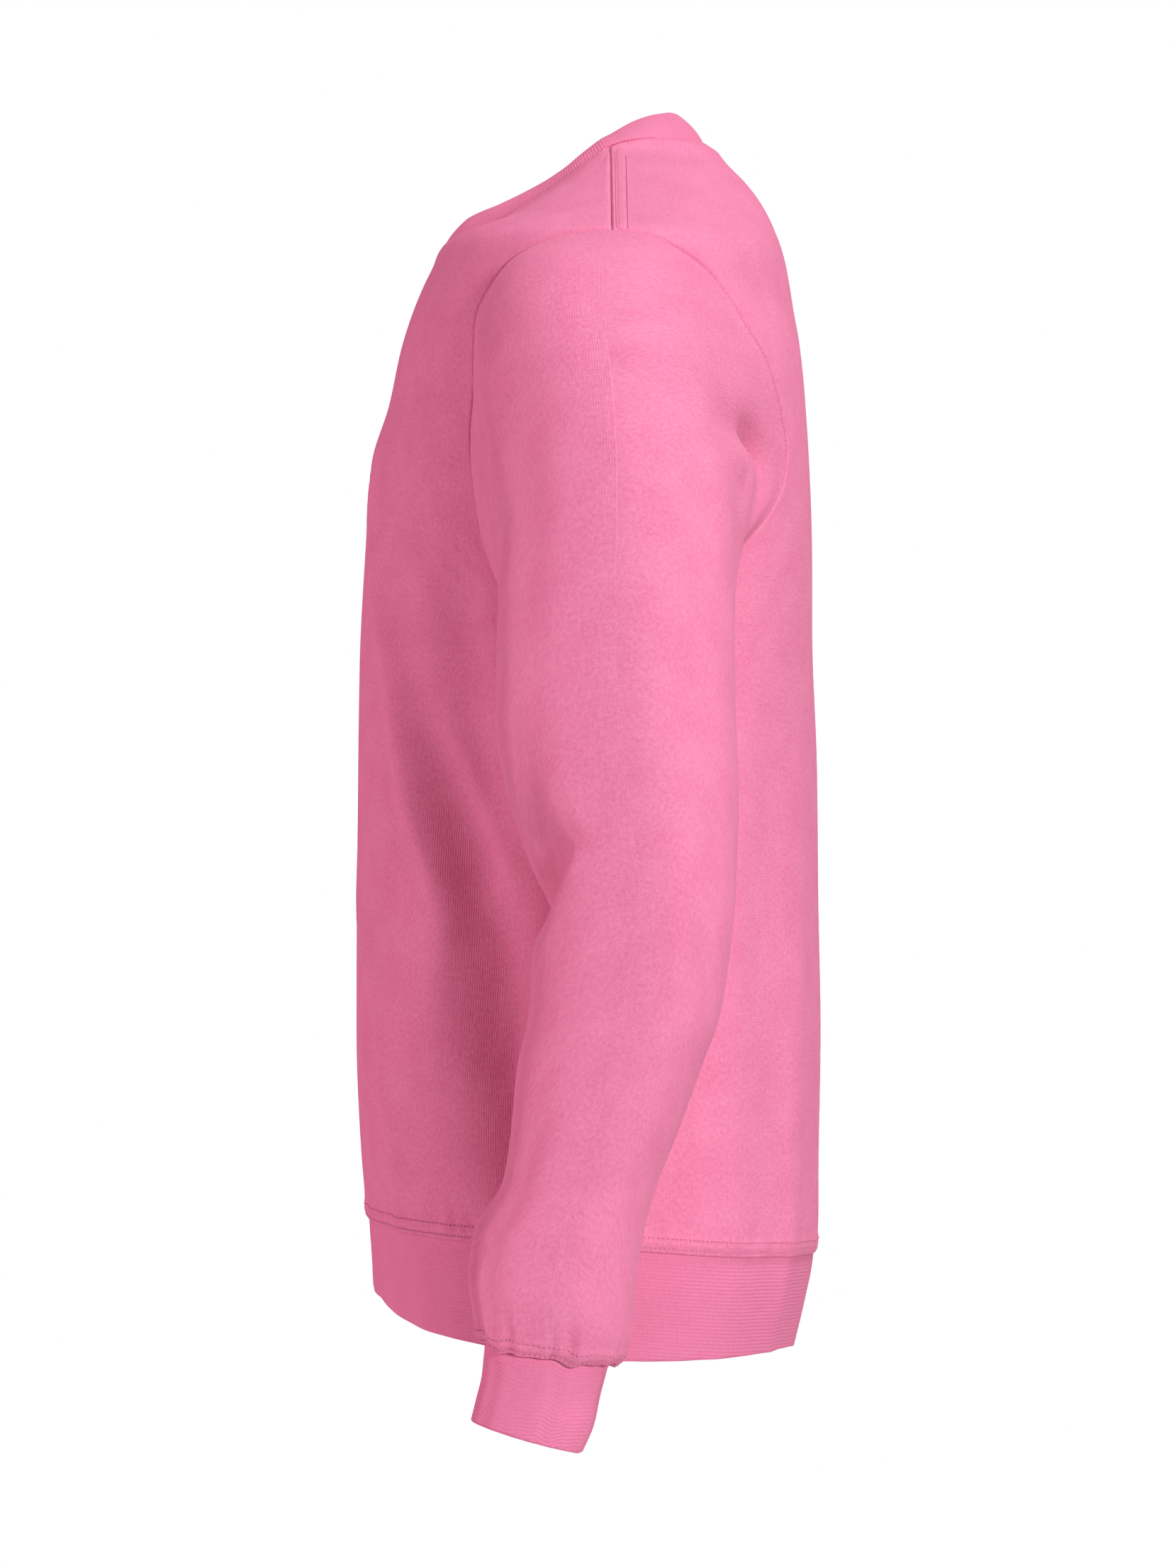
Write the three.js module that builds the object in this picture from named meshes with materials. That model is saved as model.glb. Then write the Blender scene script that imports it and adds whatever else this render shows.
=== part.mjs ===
import * as THREE from "three";

// Crewneck sweatshirt in the form it has on a general figure, arms hanging. Millimetres.
// +X is the wearer's left, -Y the front, +Z up. The origin is midway between the two points
// where the shoulder seams meet the neck seam.

const fleeceWall = 2.0;
const ribWall = 2.4;
const seamGap = 0.3;
const ribStep = 1.2;
const collarRise = 0.5;
const neckSegmentsFront = 11;
const neckSegmentsBack = 8;
const shoulderSegments = 6;
const armholeSegments = 14;
const sideSegments = 18;
const sleeveRings = 28;
const capReach = 165;
const armpitHeight = -285;

// Level sections of the body: half width at the sides, front and back at the centre line,
// where the side lies between them, and how square the front and back halves are.
const bodySections = [
  { z: -720, half: 186, front: -132, back: 103, side: -8, frontPower: 2.3, backPower: 2.4 },
  { z: -699, half: 190, front: -136, back: 108, side: -8, frontPower: 2.3, backPower: 2.4 },
  { z: -665, half: 197, front: -139.5, back: 116, side: -8, frontPower: 2.3, backPower: 2.4 },
  { z: -640, half: 202, front: -140.5, back: 120.5, side: -8, frontPower: 2.3, backPower: 2.4 },
  { z: -615, half: 204, front: -142.2, back: 122, side: -8, frontPower: 2.3, backPower: 2.4 },
  { z: -581, half: 205, front: -144.7, back: 121.6, side: -8, frontPower: 2.3, backPower: 2.4 },
  { z: -514, half: 207, front: -147.6, back: 122, side: -8, frontPower: 2.25, backPower: 2.4 },
  { z: -430, half: 208, front: -148, back: 120.7, side: -8, frontPower: 2.2, backPower: 2.4 },
  { z: -363, half: 208, front: -148, back: 120.3, side: -8, frontPower: 2.2, backPower: 2.5 },
  { z: -296, half: 208, front: -147.2, back: 118.6, side: -8, frontPower: 2.2, backPower: 2.8 },
  { z: -229, half: 209, front: -143.8, back: 117.6, side: -8, frontPower: 2.2, backPower: 3.3 },
  { z: -178, half: 214, front: -140.1, back: 115.2, side: -8, frontPower: 2.2, backPower: 3.6 },
  { z: -145, half: 222, front: -130, back: 113, side: -7, frontPower: 2.2, backPower: 3.5 },
  { z: -111, half: 233, front: -122.4, back: 110.6, side: -5, frontPower: 2.2, backPower: 2.8 },
  { z: -92, half: 236, front: -116.2, back: 108.2, side: -3, frontPower: 2.2, backPower: 2.45 },
  { z: -77.5, half: 236, front: -110.2, back: 106.3, side: -1, frontPower: 2.2, backPower: 2.35 },
  { z: -66, half: 231.5, front: -104.6, back: 104.6, side: 0, frontPower: 2.2, backPower: 2.3 },
  { z: -55, half: 208, front: -100, back: 102.3, side: 0, frontPower: 2.2, backPower: 2.3 },
  { z: -46.6, half: 190, front: -76, back: 100, side: 0, frontPower: 2.2, backPower: 2.25 },
  { z: -34.5, half: 163, front: -56.7, back: 95.8, side: 0, frontPower: 2.2, backPower: 2.2 },
  { z: -25, half: 142.5, front: -41.7, back: 91, side: 0, frontPower: 2.2, backPower: 2.2 },
  { z: -14, half: 118.5, front: -28, back: 83.4, side: 0, frontPower: 2.2, backPower: 2.2 },
  { z: 0, half: 88, front: -12, back: 71, side: 0, frontPower: 2.2, backPower: 2.2 },
  { z: 3, half: 86.8, front: -10, back: 68.6, side: 0, frontPower: 2.2, backPower: 2.2 },
  { z: 5.3, half: 83, front: -9, back: 67, side: 0, frontPower: 2.2, backPower: 2.2 },
  { z: 8, half: 72.6, front: -8, back: 64, side: 0, frontPower: 2.2, backPower: 2.2 },
  { z: 11.5, half: 56.5, front: -7, back: 59, side: 0, frontPower: 2.2, backPower: 2.2 },
  { z: 12.8, half: 50, front: -6, back: 56.5, side: 0, frontPower: 2.2, backPower: 2.2 },
];

// Neck seam from centre front to centre back, and the reach of the rib from it to its folded edge.
const neckSeam = [
  { x: 0, y: -100, z: -55, reachX: 0, reachY: 14, reachZ: 19 },
  { x: 45, y: -90, z: -52, reachX: -2, reachY: 13.5, reachZ: 17.5 },
  { x: 68, y: -70, z: -46.6, reachX: -8, reachY: 10, reachZ: 16.5 },
  { x: 80, y: -51, z: -34.5, reachX: -14, reachY: 7.5, reachZ: 13 },
  { x: 85, y: -35, z: -25, reachX: -18, reachY: 3.5, reachZ: 10.5 },
  { x: 88, y: -20, z: -14, reachX: -20, reachY: 0, reachZ: 8 },
  { x: 88.5, y: 0, z: 0, reachX: -20, reachY: -3, reachZ: 7.5 },
  { x: 86.5, y: 10, z: 3, reachX: -19, reachY: -5, reachZ: 9 },
  { x: 80, y: 21, z: 5.3, reachX: -17, reachY: -7, reachZ: 12 },
  { x: 62, y: 36.6, z: 8, reachX: -11, reachY: -10, reachZ: 15 },
  { x: 33, y: 50, z: 11.5, reachX: -4.5, reachY: -13, reachZ: 16 },
  { x: 0, y: 56.5, z: 12.8, reachX: 0, reachY: -14.5, reachZ: 15.7 },
];
const neckSideRow = 6;

// Armhole seam on the body's form, front half and back half, from the shoulder tip to the armpit.
const armholeFront = [
  { y: 0, z: -66 },
  { y: -21, z: -67.7 },
  { y: -38, z: -72 },
  { y: -55, z: -80.6 },
  { y: -68, z: -97 },
  { y: -73.5, z: -108 },
  { y: -75, z: -129 },
  { y: -75.3, z: -151 },
  { y: -75.3, z: -194 },
  { y: -72, z: -215 },
  { y: -66, z: -232 },
  { y: -57, z: -249 },
  { y: -44, z: -266 },
  { y: -27, z: -280 },
  { y: -8, z: armpitHeight },
];
const armholeBack = [
  { y: 0, z: -66 },
  { y: 21, z: -69 },
  { y: 34, z: -75 },
  { y: 54, z: -88 },
  { y: 67, z: -103.5 },
  { y: 73, z: -113.5 },
  { y: 84, z: -129.5 },
  { y: 93, z: -155 },
  { y: 98, z: -181 },
  { y: 96, z: -198 },
  { y: 88, z: -215 },
  { y: 78, z: -228 },
  { y: 66, z: -240 },
  { y: 45, z: -259 },
  { y: 20, z: -277 },
  { y: -8, z: armpitHeight },
];

// Hem seam and lower edge of the hem rib round the body; turn is 0 at centre front, 180 at centre back.
const hemLine = [
  { turn: 0, seam: -619.5, edge: -660.5 },
  { turn: 20, seam: -619, edge: -661.8 },
  { turn: 33, seam: -618.2, edge: -667 },
  { turn: 45, seam: -618, edge: -671.5 },
  { turn: 58, seam: -618.2, edge: -675 },
  { turn: 90, seam: -620, edge: -682.5 },
  { turn: 134, seam: -630, edge: -685.5 },
  { turn: 151, seam: -634, edge: -688 },
  { turn: 165, seam: -638, edge: -692.5 },
  { turn: 180, seam: -640, edge: -698 },
];

// Sleeve sections: outer and inner end of each in the X-Z plane, front and rear reach along Y.
const sleeveSections = [
  { along: 0, outX: 232, outZ: -66, inX: 208, inZ: -285, front: -75, rear: 97, tilt: 0 },
  { along: 28, outX: 262, outZ: -79, inX: 210, inZ: -290, front: -75, rear: 88, tilt: 0 },
  { along: 60, outX: 290, outZ: -104, inX: 212.5, inZ: -297, front: -72.5, rear: 78, tilt: 0 },
  { along: 95, outX: 313, outZ: -142, inX: 214.5, inZ: -306, front: -66, rear: 71, tilt: 0 },
  { along: 135, outX: 328, outZ: -192, inX: 216.5, inZ: -320, front: -60, rear: 66, tilt: 0 },
  { along: 180, outX: 336, outZ: -250, inX: 219, inZ: -341, front: -61, rear: 65, tilt: 0 },
  { along: 220, outX: 340, outZ: -300, inX: 222, inZ: -366, front: -61.5, rear: 65.5, tilt: 0 },
  { along: 262, outX: 342, outZ: -350, inX: 226, inZ: -394, front: -55, rear: 67, tilt: 0 },
  { along: 297, outX: 342, outZ: -394, inX: 230, inZ: -420, front: -44, rear: 66, tilt: 0 },
  { along: 325, outX: 341, outZ: -430, inX: 233, inZ: -440, front: -36, rear: 64.5, tilt: 0 },
  { along: 345, outX: 340, outZ: -455, inX: 236, inZ: -458, front: -41, rear: 62, tilt: 0 },
  { along: 375, outX: 338, outZ: -487, inX: 238, inZ: -487, front: -44, rear: 57, tilt: 0 },
  { along: 403, outX: 337, outZ: -515, inX: 240, inZ: -515, front: -50, rear: 47, tilt: 0 },
  { along: 440, outX: 335, outZ: -552, inX: 242, inZ: -552, front: -53.6, rear: 33.5, tilt: 0 },
  { along: 465, outX: 334, outZ: -577, inX: 243, inZ: -577, front: -58, rear: 23.6, tilt: 0 },
  { along: 492, outX: 335, outZ: -604, inX: 244, inZ: -604, front: -70.7, rear: 16, tilt: 1 },
  { along: 519, outX: 335, outZ: -630, inX: 245, inZ: -630, front: -74, rear: 12.3, tilt: 2 },
  { along: 538, outX: 332, outZ: -649, inX: 248, inZ: -649, front: -72.5, rear: 11, tilt: 3.5 },
  { along: 548, outX: 329, outZ: -658, inX: 251, inZ: -658, front: -70, rear: 8, tilt: 4.5 },
  { along: 556, outX: 326, outZ: -665, inX: 254, inZ: -665, front: -68, rear: 0, tilt: 5.3 },
];
const sleevePower = 2.15;

// Cuff sections below the sleeve's end.
const cuffSections = [
  { outX: 325, outZ: -666, inX: 258, inZ: -667, front: -67, rear: -2, tilt: 5.2 },
  { outX: 326, outZ: -679, inX: 263, inZ: -681, front: -68, rear: -6, tilt: 5.5 },
  { outX: 328, outZ: -693, inX: 266, inZ: -696, front: -71, rear: -9.5, tilt: 7 },
  { outX: 329, outZ: -706, inX: 268, inZ: -710, front: -74, rear: -16, tilt: 8.5 },
];

const pinkFleece = 0xe97fa8;
const pinkRib = 0xe67ba5;

// Smooth curve through the rows of a table that never overshoots a row: one column read at a key.
function columnReader(rows, key, column) {
  const keys = rows.map((row) => row[key]);
  const values = rows.map((row) => row[column]);
  const steps = keys.slice(1).map((k, i) => k - keys[i]);
  const slopes = steps.map((step, i) => (values[i + 1] - values[i]) / step);
  const tangents = keys.map((_, i) => {
    if (i === 0) return slopes[0];
    if (i === keys.length - 1) return slopes[i - 1];
    if (slopes[i - 1] * slopes[i] <= 0) return 0;
    const before = 2 * steps[i] + steps[i - 1];
    const after = steps[i] + 2 * steps[i - 1];
    return (before + after) / (before / slopes[i - 1] + after / slopes[i]);
  });
  return (at) => {
    let i = 0;
    while (i < steps.length - 1 && at > keys[i + 1]) i += 1;
    const t = Math.min(1, Math.max(0, (at - keys[i]) / steps[i]));
    const h = steps[i];
    const t2 = t * t;
    const t3 = t2 * t;
    return (
      (2 * t3 - 3 * t2 + 1) * values[i] +
      (t3 - 2 * t2 + t) * h * tangents[i] +
      (3 * t2 - 2 * t3) * values[i + 1] +
      (t3 - t2) * h * tangents[i + 1]
    );
  };
}

function tableReader(rows, key, columns) {
  const readers = columns.map((column) => [column, columnReader(rows, key, column)]);
  return (at) => Object.fromEntries(readers.map(([column, read]) => [column, read(at)]));
}

function smoothStep(t) {
  const c = Math.min(1, Math.max(0, t));
  return c * c * (3 - 2 * c);
}

const bodyAt = tableReader(bodySections, "z", [
  "half",
  "front",
  "back",
  "side",
  "frontPower",
  "backPower",
]);
const degree = Math.PI / 180;

// Body form without folds: the point at a turn (degrees, positive to the wearer's left) and a height.
function bodyForm(turn, z) {
  const s = bodyAt(z);
  const across = Math.sin(turn * degree);
  const ahead = Math.cos(turn * degree);
  const power = ahead > 0 ? s.frontPower : s.backPower;
  const reach = (Math.abs(across) ** power + Math.abs(ahead) ** power) ** (-1 / power);
  const depth = ahead > 0 ? s.side - s.front : s.back - s.side;
  return new THREE.Vector3(s.half * across * reach, s.side - depth * ahead * reach, z);
}

function turnFromDirection(x, y, z) {
  const s = bodyAt(z);
  const depth = y < s.side ? s.side - s.front : s.back - s.side;
  return Math.atan2(x / s.half, (s.side - y) / depth) / degree;
}

function turnFromReach(y, z) {
  const s = bodyAt(z);
  const isFront = y < s.side;
  const depth = isFront ? s.side - s.front : s.back - s.side;
  const power = isFront ? s.frontPower : s.backPower;
  const ahead = Math.min(1, Math.abs(y - s.side) / depth);
  const turn = Math.atan2((1 - ahead ** power) ** (1 / power), ahead) / degree;
  return isFront ? turn : 180 - turn;
}

// Folds of the body: each runs from one turn and height to another, spread is its half width
// in degrees, rise is positive for a ridge and negative for a trough.
const bodyFolds = [
  { turnA: 16, zA: -190, turnB: 50, zB: -440, spread: 4, rise: 2.5, bow: 4 },
  { turnA: 27, zA: -215, turnB: 60, zB: -430, spread: 6, rise: -4, bow: 4 },
  { turnA: 10, zA: -420, turnB: 40, zB: -680, spread: 3.5, rise: 3.5, bow: 8 },
  { turnA: 4, zA: -440, turnB: 30, zB: -670, spread: 5, rise: -3.5, bow: 8 },
  { turnA: 56, zA: -230, turnB: 72, zB: -590, spread: 9, rise: -8, bow: 0 },
  { turnA: 150, zA: -330, turnB: 144, zB: -690, spread: 4, rise: 2.5, bow: 0 },
  { turnA: 136, zA: -300, turnB: 134, zB: -640, spread: 7, rise: -3.5, bow: 0 },
  { turnA: -20, zA: -180, turnB: -52, zB: -460, spread: 5, rise: 2.5, bow: -4 },
  { turnA: -33, zA: -210, turnB: -62, zB: -430, spread: 7, rise: -4, bow: -4 },
  { turnA: -12, zA: -400, turnB: -44, zB: -680, spread: 4, rise: 3, bow: -6 },
  { turnA: -58, zA: -240, turnB: -74, zB: -580, spread: 9, rise: -7, bow: 0 },
  { turnA: -152, zA: -350, turnB: -146, zB: -690, spread: 5, rise: 2.5, bow: 0 },
  { turnA: -138, zA: -310, turnB: -132, zB: -620, spread: 7, rise: -3, bow: 0 },
  { turnA: 180, zA: 30, turnB: 180, zB: -90, spread: 14, rise: -3, bow: 0 },
];

function foldRise(folds, turn, z) {
  let rise = 0;
  for (const fold of folds) {
    const t = (z - fold.zA) / (fold.zB - fold.zA);
    if (t <= 0 || t >= 1) continue;
    const path = fold.turnA + (fold.turnB - fold.turnA) * t + fold.bow * Math.sin(Math.PI * t);
    let off = turn - path;
    if (off > 180) off -= 360;
    if (off < -180) off += 360;
    const along = smoothStep(t / 0.3) * smoothStep((1 - t) / 0.25);
    rise += fold.rise * along * Math.exp(-((off / fold.spread) ** 2));
  }
  return rise;
}

function unitNormal(form, a, b, stepA, stepB) {
  const alongA = form(a + stepA, b).sub(form(a - stepA, b));
  const alongB = form(a, b + stepB).sub(form(a, b - stepB));
  return alongA.cross(alongB).normalize();
}

// Body form with its folds.
function bodyPoint(turn, z) {
  const normal = unitNormal(bodyForm, turn, z, 0.2, 0.5);
  return bodyForm(turn, z).addScaledVector(normal, foldRise(bodyFolds, turn, z));
}

function bodyNormal(turn, z) {
  return unitNormal(bodyPoint, turn, z, 0.4, 1);
}

// A seam through rows of turn and height, read at a share of its length.
function seamReader(rows) {
  const points = rows.map((row) => bodyForm(row.turn, row.z));
  let length = 0;
  const marks = rows.map((row, i) => {
    if (i > 0) length += points[i].distanceTo(points[i - 1]);
    return { ...row, length };
  });
  const columns = Object.keys(rows[0]);
  const read = tableReader(marks, "length", columns);
  return (share) => read(share * length);
}

const neckRows = neckSeam.map((row) => ({
  ...row,
  turn: row.x === 0 ? (row.y < 0 ? 0 : 180) : turnFromDirection(row.x, row.y, row.z),
}));
neckRows[neckSideRow].turn = 90;
const neckFrontAt = seamReader(neckRows.slice(0, neckSideRow + 1));
const neckBackAt = seamReader(neckRows.slice(neckSideRow).reverse());
const armholeRow = (row) => ({ turn: turnFromReach(row.y, row.z), z: row.z });
const armholeFrontAt = seamReader(armholeFront.map(armholeRow));
const armholeBackAt = seamReader(armholeBack.map(armholeRow));
const hemAt = tableReader(hemLine, "turn", ["seam", "edge"]);
const shoulderTip = armholeFront[0].z;

// How fast the bow of the neck and shoulder edge dies out below it: its share is up to this power.
const topReach = 6;

// One half of a body panel as turn and height. Across runs 0 at the centre line to 1 at the side,
// up runs 0 at the hem to 1 at the top. Straight lines lead from the centre line to the side, and
// the bow of the hem edge and of the top edge is added to them, less with the distance from it.
function panelHalf(centreTurn, neckAt, neckSegments, armholeAt) {
  const acrossCount = neckSegments + shoulderSegments;
  const upCount = sideSegments + armholeSegments;
  const bottom = (i) => {
    const turn = centreTurn + (90 - centreTurn) * (i / acrossCount);
    return { turn, z: hemAt(turn).seam };
  };
  const top = (i) => {
    if (i <= neckSegments) return neckAt(i / neckSegments);
    return { turn: 90, z: shoulderTip * ((i - neckSegments) / shoulderSegments) };
  };
  const centre = (j) => {
    const from = hemAt(centreTurn).seam;
    const to = neckAt(0).z;
    return { turn: centreTurn, z: from + (to - from) * (j / upCount) };
  };
  const side = (j) => {
    if (j >= sideSegments) return armholeAt((upCount - j) / armholeSegments);
    const from = hemAt(90).seam;
    return { turn: 90, z: from + (armpitHeight - from) * (j / sideSegments) };
  };
  const blend = (key, i, j) => {
    const u = i / acrossCount;
    const v = j / upCount;
    const ruled = (1 - u) * centre(j)[key] + u * side(j)[key];
    const bowOf = (edge) => edge(i)[key] - (1 - u) * edge(0)[key] - u * edge(acrossCount)[key];
    return ruled + (1 - v) * bowOf(bottom) + v ** topReach * bowOf(top);
  };
  const rows = [];
  for (let j = 0; j <= upCount; j += 1) {
    const row = [];
    for (let i = 0; i <= acrossCount; i += 1) {
      row.push({ turn: blend("turn", i, j), z: blend("z", i, j) });
    }
    rows.push(row);
  }
  return rows;
}

// Armhole loop of one side: seam points with the outward direction both cloths share there.
function armholeLoop(side) {
  const marks = [];
  for (let k = 0; k < armholeSegments; k += 1) marks.push(armholeFrontAt(k / armholeSegments));
  for (let k = armholeSegments; k > 0; k -= 1) marks.push(armholeBackAt(k / armholeSegments));
  const points = marks.map((mark) => bodyPoint(side * mark.turn, mark.z));
  const centre = points
    .reduce((sum, point) => sum.add(point), new THREE.Vector3())
    .divideScalar(points.length);
  return loopFrame(points, (point) => point.clone().sub(centre));
}

// Tangent and outward direction at each point of a closed loop.
function loopFrame(points, outwardAt) {
  const count = points.length;
  return points.map((point, k) => {
    const tangent = points[(k + 1) % count].clone().sub(points[(k + count - 1) % count]).normalize();
    const outward = outwardAt(point, k);
    outward.addScaledVector(tangent, -outward.dot(tangent)).normalize();
    return { point, tangent, outward };
  });
}

// Step from a seam into the cloth: half the seam gap, along the cloth and square to the seam.
function stepIn(mark, inside) {
  const across = mark.outward.clone().cross(mark.tangent).normalize();
  if (across.dot(inside.clone().sub(mark.point)) < 0) across.negate();
  return across.multiplyScalar(seamGap / 2);
}

const armholes = { left: armholeLoop(1), right: armholeLoop(-1) };

function openSeam(points, normals) {
  return points.map((point, k) => {
    const before = points[Math.max(0, k - 1)];
    const after = points[Math.min(points.length - 1, k + 1)];
    const tangent = after.clone().sub(before).normalize();
    const outward = normals[k].clone();
    outward.addScaledVector(tangent, -outward.dot(tangent)).normalize();
    return { point, tangent, outward };
  });
}

// A whole panel: outer points, then each edge is stepped in from its seam.
function panelGrid(centreTurn, neckAt, neckSegments, armholeAt, isBack) {
  const half = panelHalf(centreTurn, neckAt, neckSegments, armholeAt);
  const acrossCount = half[0].length - 1;
  const upCount = half.length - 1;
  const marks = half.map((row) => [
    ...row
      .slice(1)
      .reverse()
      .map((mark) => ({ turn: -mark.turn, z: mark.z })),
    ...row,
  ]);
  const outer = marks.map((row) => row.map((mark) => bodyPoint(mark.turn, mark.z)));
  const normals = marks.map((row) => row.map((mark) => bodyNormal(mark.turn, mark.z)));
  const last = outer[0].length - 1;
  const seams = [];
  const along = (cells) => {
    const points = cells.map(([j, i]) => outer[j][i].clone());
    return openSeam(points, cells.map(([j, i]) => normals[j][i]));
  };
  const cellsOf = (count, cell) => Array.from({ length: count }, (_, k) => cell(k));
  const bottomCells = cellsOf(last + 1, (k) => [0, k]);
  const neckCells = cellsOf(2 * neckSegments + 1, (k) => [upCount, shoulderSegments + k]);
  const shoulderRight = cellsOf(shoulderSegments + 1, (k) => [upCount, k]);
  const shoulderLeft = cellsOf(shoulderSegments + 1, (k) => [upCount, last - k]);
  const sideRight = cellsOf(sideSegments + 1, (k) => [k, 0]);
  const sideLeft = cellsOf(sideSegments + 1, (k) => [k, last]);
  for (const cells of [bottomCells, neckCells, shoulderRight, shoulderLeft, sideRight, sideLeft]) {
    seams.push({ cells, marks: along(cells) });
  }
  for (const [loop, column] of [
    [armholes.right, 0],
    [armholes.left, last],
  ]) {
    const cells = cellsOf(armholeSegments + 1, (k) => [upCount - k, column]);
    const loopMarks = cells.map((_, k) => {
      const index = isBack ? (loop.length - k) % loop.length : k;
      return loop[index];
    });
    seams.push({ cells, marks: loopMarks });
  }
  const shifts = outer.map((row) => row.map(() => new THREE.Vector3()));
  for (const seam of seams) {
    seam.cells.forEach(([j, i], k) => {
      const insideRow = Math.min(upCount - 1, Math.max(1, j));
      const insideColumn = Math.min(last - 1, Math.max(1, i));
      shifts[j][i].add(stepIn(seam.marks[k], outer[insideRow][insideColumn]));
      normals[j][i] = seam.marks[k].outward;
    });
  }
  outer.forEach((row, j) => row.forEach((point, i) => point.add(shifts[j][i])));
  return { outer, normals, hemMarks: seams[0].marks, neckMarks: seams[1].marks };
}

// Closes outer and inner surface with rims into one cloth body.
function clothMesh(name, outer, inner, isTube, colour) {
  const rowCount = outer.length;
  const columnCount = outer[0].length;
  const half = rowCount * columnCount;
  const positions = [...outer.flat(), ...inner.flat()].flatMap((p) => [p.x, p.y, p.z]);
  const index = [];
  const at = (j, i, layer) => layer * half + j * columnCount + (i % columnCount);
  const quad = (a, b, c, d) => {
    const p = [a, b, c, d].map((k) => new THREE.Vector3().fromArray(positions, 3 * k));
    if (p[0].distanceTo(p[2]) <= p[1].distanceTo(p[3])) index.push(a, b, c, a, c, d);
    else index.push(a, b, d, b, c, d);
  };
  const spans = isTube ? columnCount : columnCount - 1;
  for (let j = 0; j < rowCount - 1; j += 1) {
    for (let i = 0; i < spans; i += 1) {
      quad(at(j, i, 0), at(j, i + 1, 0), at(j + 1, i + 1, 0), at(j + 1, i, 0));
      quad(at(j, i, 1), at(j + 1, i, 1), at(j + 1, i + 1, 1), at(j, i + 1, 1));
    }
  }
  const top = rowCount - 1;
  for (let i = 0; i < spans; i += 1) {
    quad(at(0, i, 0), at(0, i, 1), at(0, i + 1, 1), at(0, i + 1, 0));
    quad(at(top, i, 0), at(top, i + 1, 0), at(top, i + 1, 1), at(top, i, 1));
  }
  if (!isTube) {
    const right = columnCount - 1;
    for (let j = 0; j < top; j += 1) {
      quad(at(j, 0, 0), at(j + 1, 0, 0), at(j + 1, 0, 1), at(j, 0, 1));
      quad(at(j, right, 0), at(j, right, 1), at(j + 1, right, 1), at(j + 1, right, 0));
    }
  }
  let volume = 0;
  const corner = (k) => new THREE.Vector3().fromArray(positions, 3 * index[k]);
  for (let k = 0; k < index.length; k += 3) {
    volume += corner(k).dot(corner(k + 1).cross(corner(k + 2)));
  }
  if (volume < 0) index.reverse();
  const geometry = new THREE.BufferGeometry();
  geometry.setAttribute("position", new THREE.Float32BufferAttribute(positions, 3));
  geometry.setIndex(index);
  geometry.computeVertexNormals();
  const material = new THREE.MeshStandardMaterial({ color: colour, roughness: 0.95, metalness: 0 });
  const mesh = new THREE.Mesh(geometry, material);
  mesh.name = name;
  return mesh;
}

function innerGrid(outer, normals, wall) {
  return outer.map((row, j) =>
    row.map((point, i) => point.clone().addScaledVector(normals[j][i], -wall)),
  );
}

// Outward directions of a tube's grid from its neighbours.
function tubeNormals(outer) {
  const columns = outer[0].length;
  return outer.map((row, j) =>
    row.map((_, i) => {
      const before = outer[Math.max(0, j - 1)][i];
      const after = outer[Math.min(outer.length - 1, j + 1)][i];
      const right = row[(i + 1) % columns];
      const left = row[(i + columns - 1) % columns];
      return right.clone().sub(left).cross(after.clone().sub(before)).normalize();
    }),
  );
}

// Point of a sleeve or cuff section; around is 0 at the outer line, 90 in front, 180 at the
// underarm seam, 270 behind.
function sectionPoint(section, around, side) {
  const out = Math.cos(around * degree);
  const ahead = Math.sin(around * degree);
  const reach =
    (Math.abs(out) ** sleevePower + Math.abs(ahead) ** sleevePower) ** (-1 / sleevePower);
  const middleX = (section.outX + section.inX) / 2;
  const middleZ = (section.outZ + section.inZ) / 2;
  const centreY = (section.front + section.rear) / 2;
  const halfY = (section.rear - section.front) / 2;
  return new THREE.Vector3(
    side * (middleX + (section.outX - middleX) * out * reach),
    centreY - halfY * ahead * reach,
    middleZ + (section.outZ - middleZ) * out * reach + section.tilt * ahead * reach,
  );
}

const sleeveFolds = [
  { turnA: 62, zA: 235, turnB: 92, zB: 350, spread: 9, rise: -6, bow: 0 },
  { turnA: 262, zA: 20, turnB: 232, zB: 150, spread: 12, rise: -7, bow: 8 },
  { turnA: 20, zA: 110, turnB: 15, zB: 300, spread: 10, rise: -2, bow: 0 },
  { turnA: 315, zA: 90, turnB: 322, zB: 420, spread: 11, rise: -2.5, bow: 0 },
];

const sleeveColumns = [
  "outX",
  "outZ",
  "inX",
  "inZ",
  "front",
  "rear",
  "tilt",
];
const sleeveAt = tableReader(sleeveSections, "along", sleeveColumns);
const sleeveLength = sleeveSections[sleeveSections.length - 1].along;

// Sleeve rings, closer together at the cap, the elbow and the wrist.
function sleeveMarks() {
  const marks = [];
  for (let k = 0; k <= sleeveRings; k += 1) {
    const t = k / sleeveRings;
    marks.push(sleeveLength * (t - 0.035 * Math.sin(2 * Math.PI * t)));
  }
  return marks;
}

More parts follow.
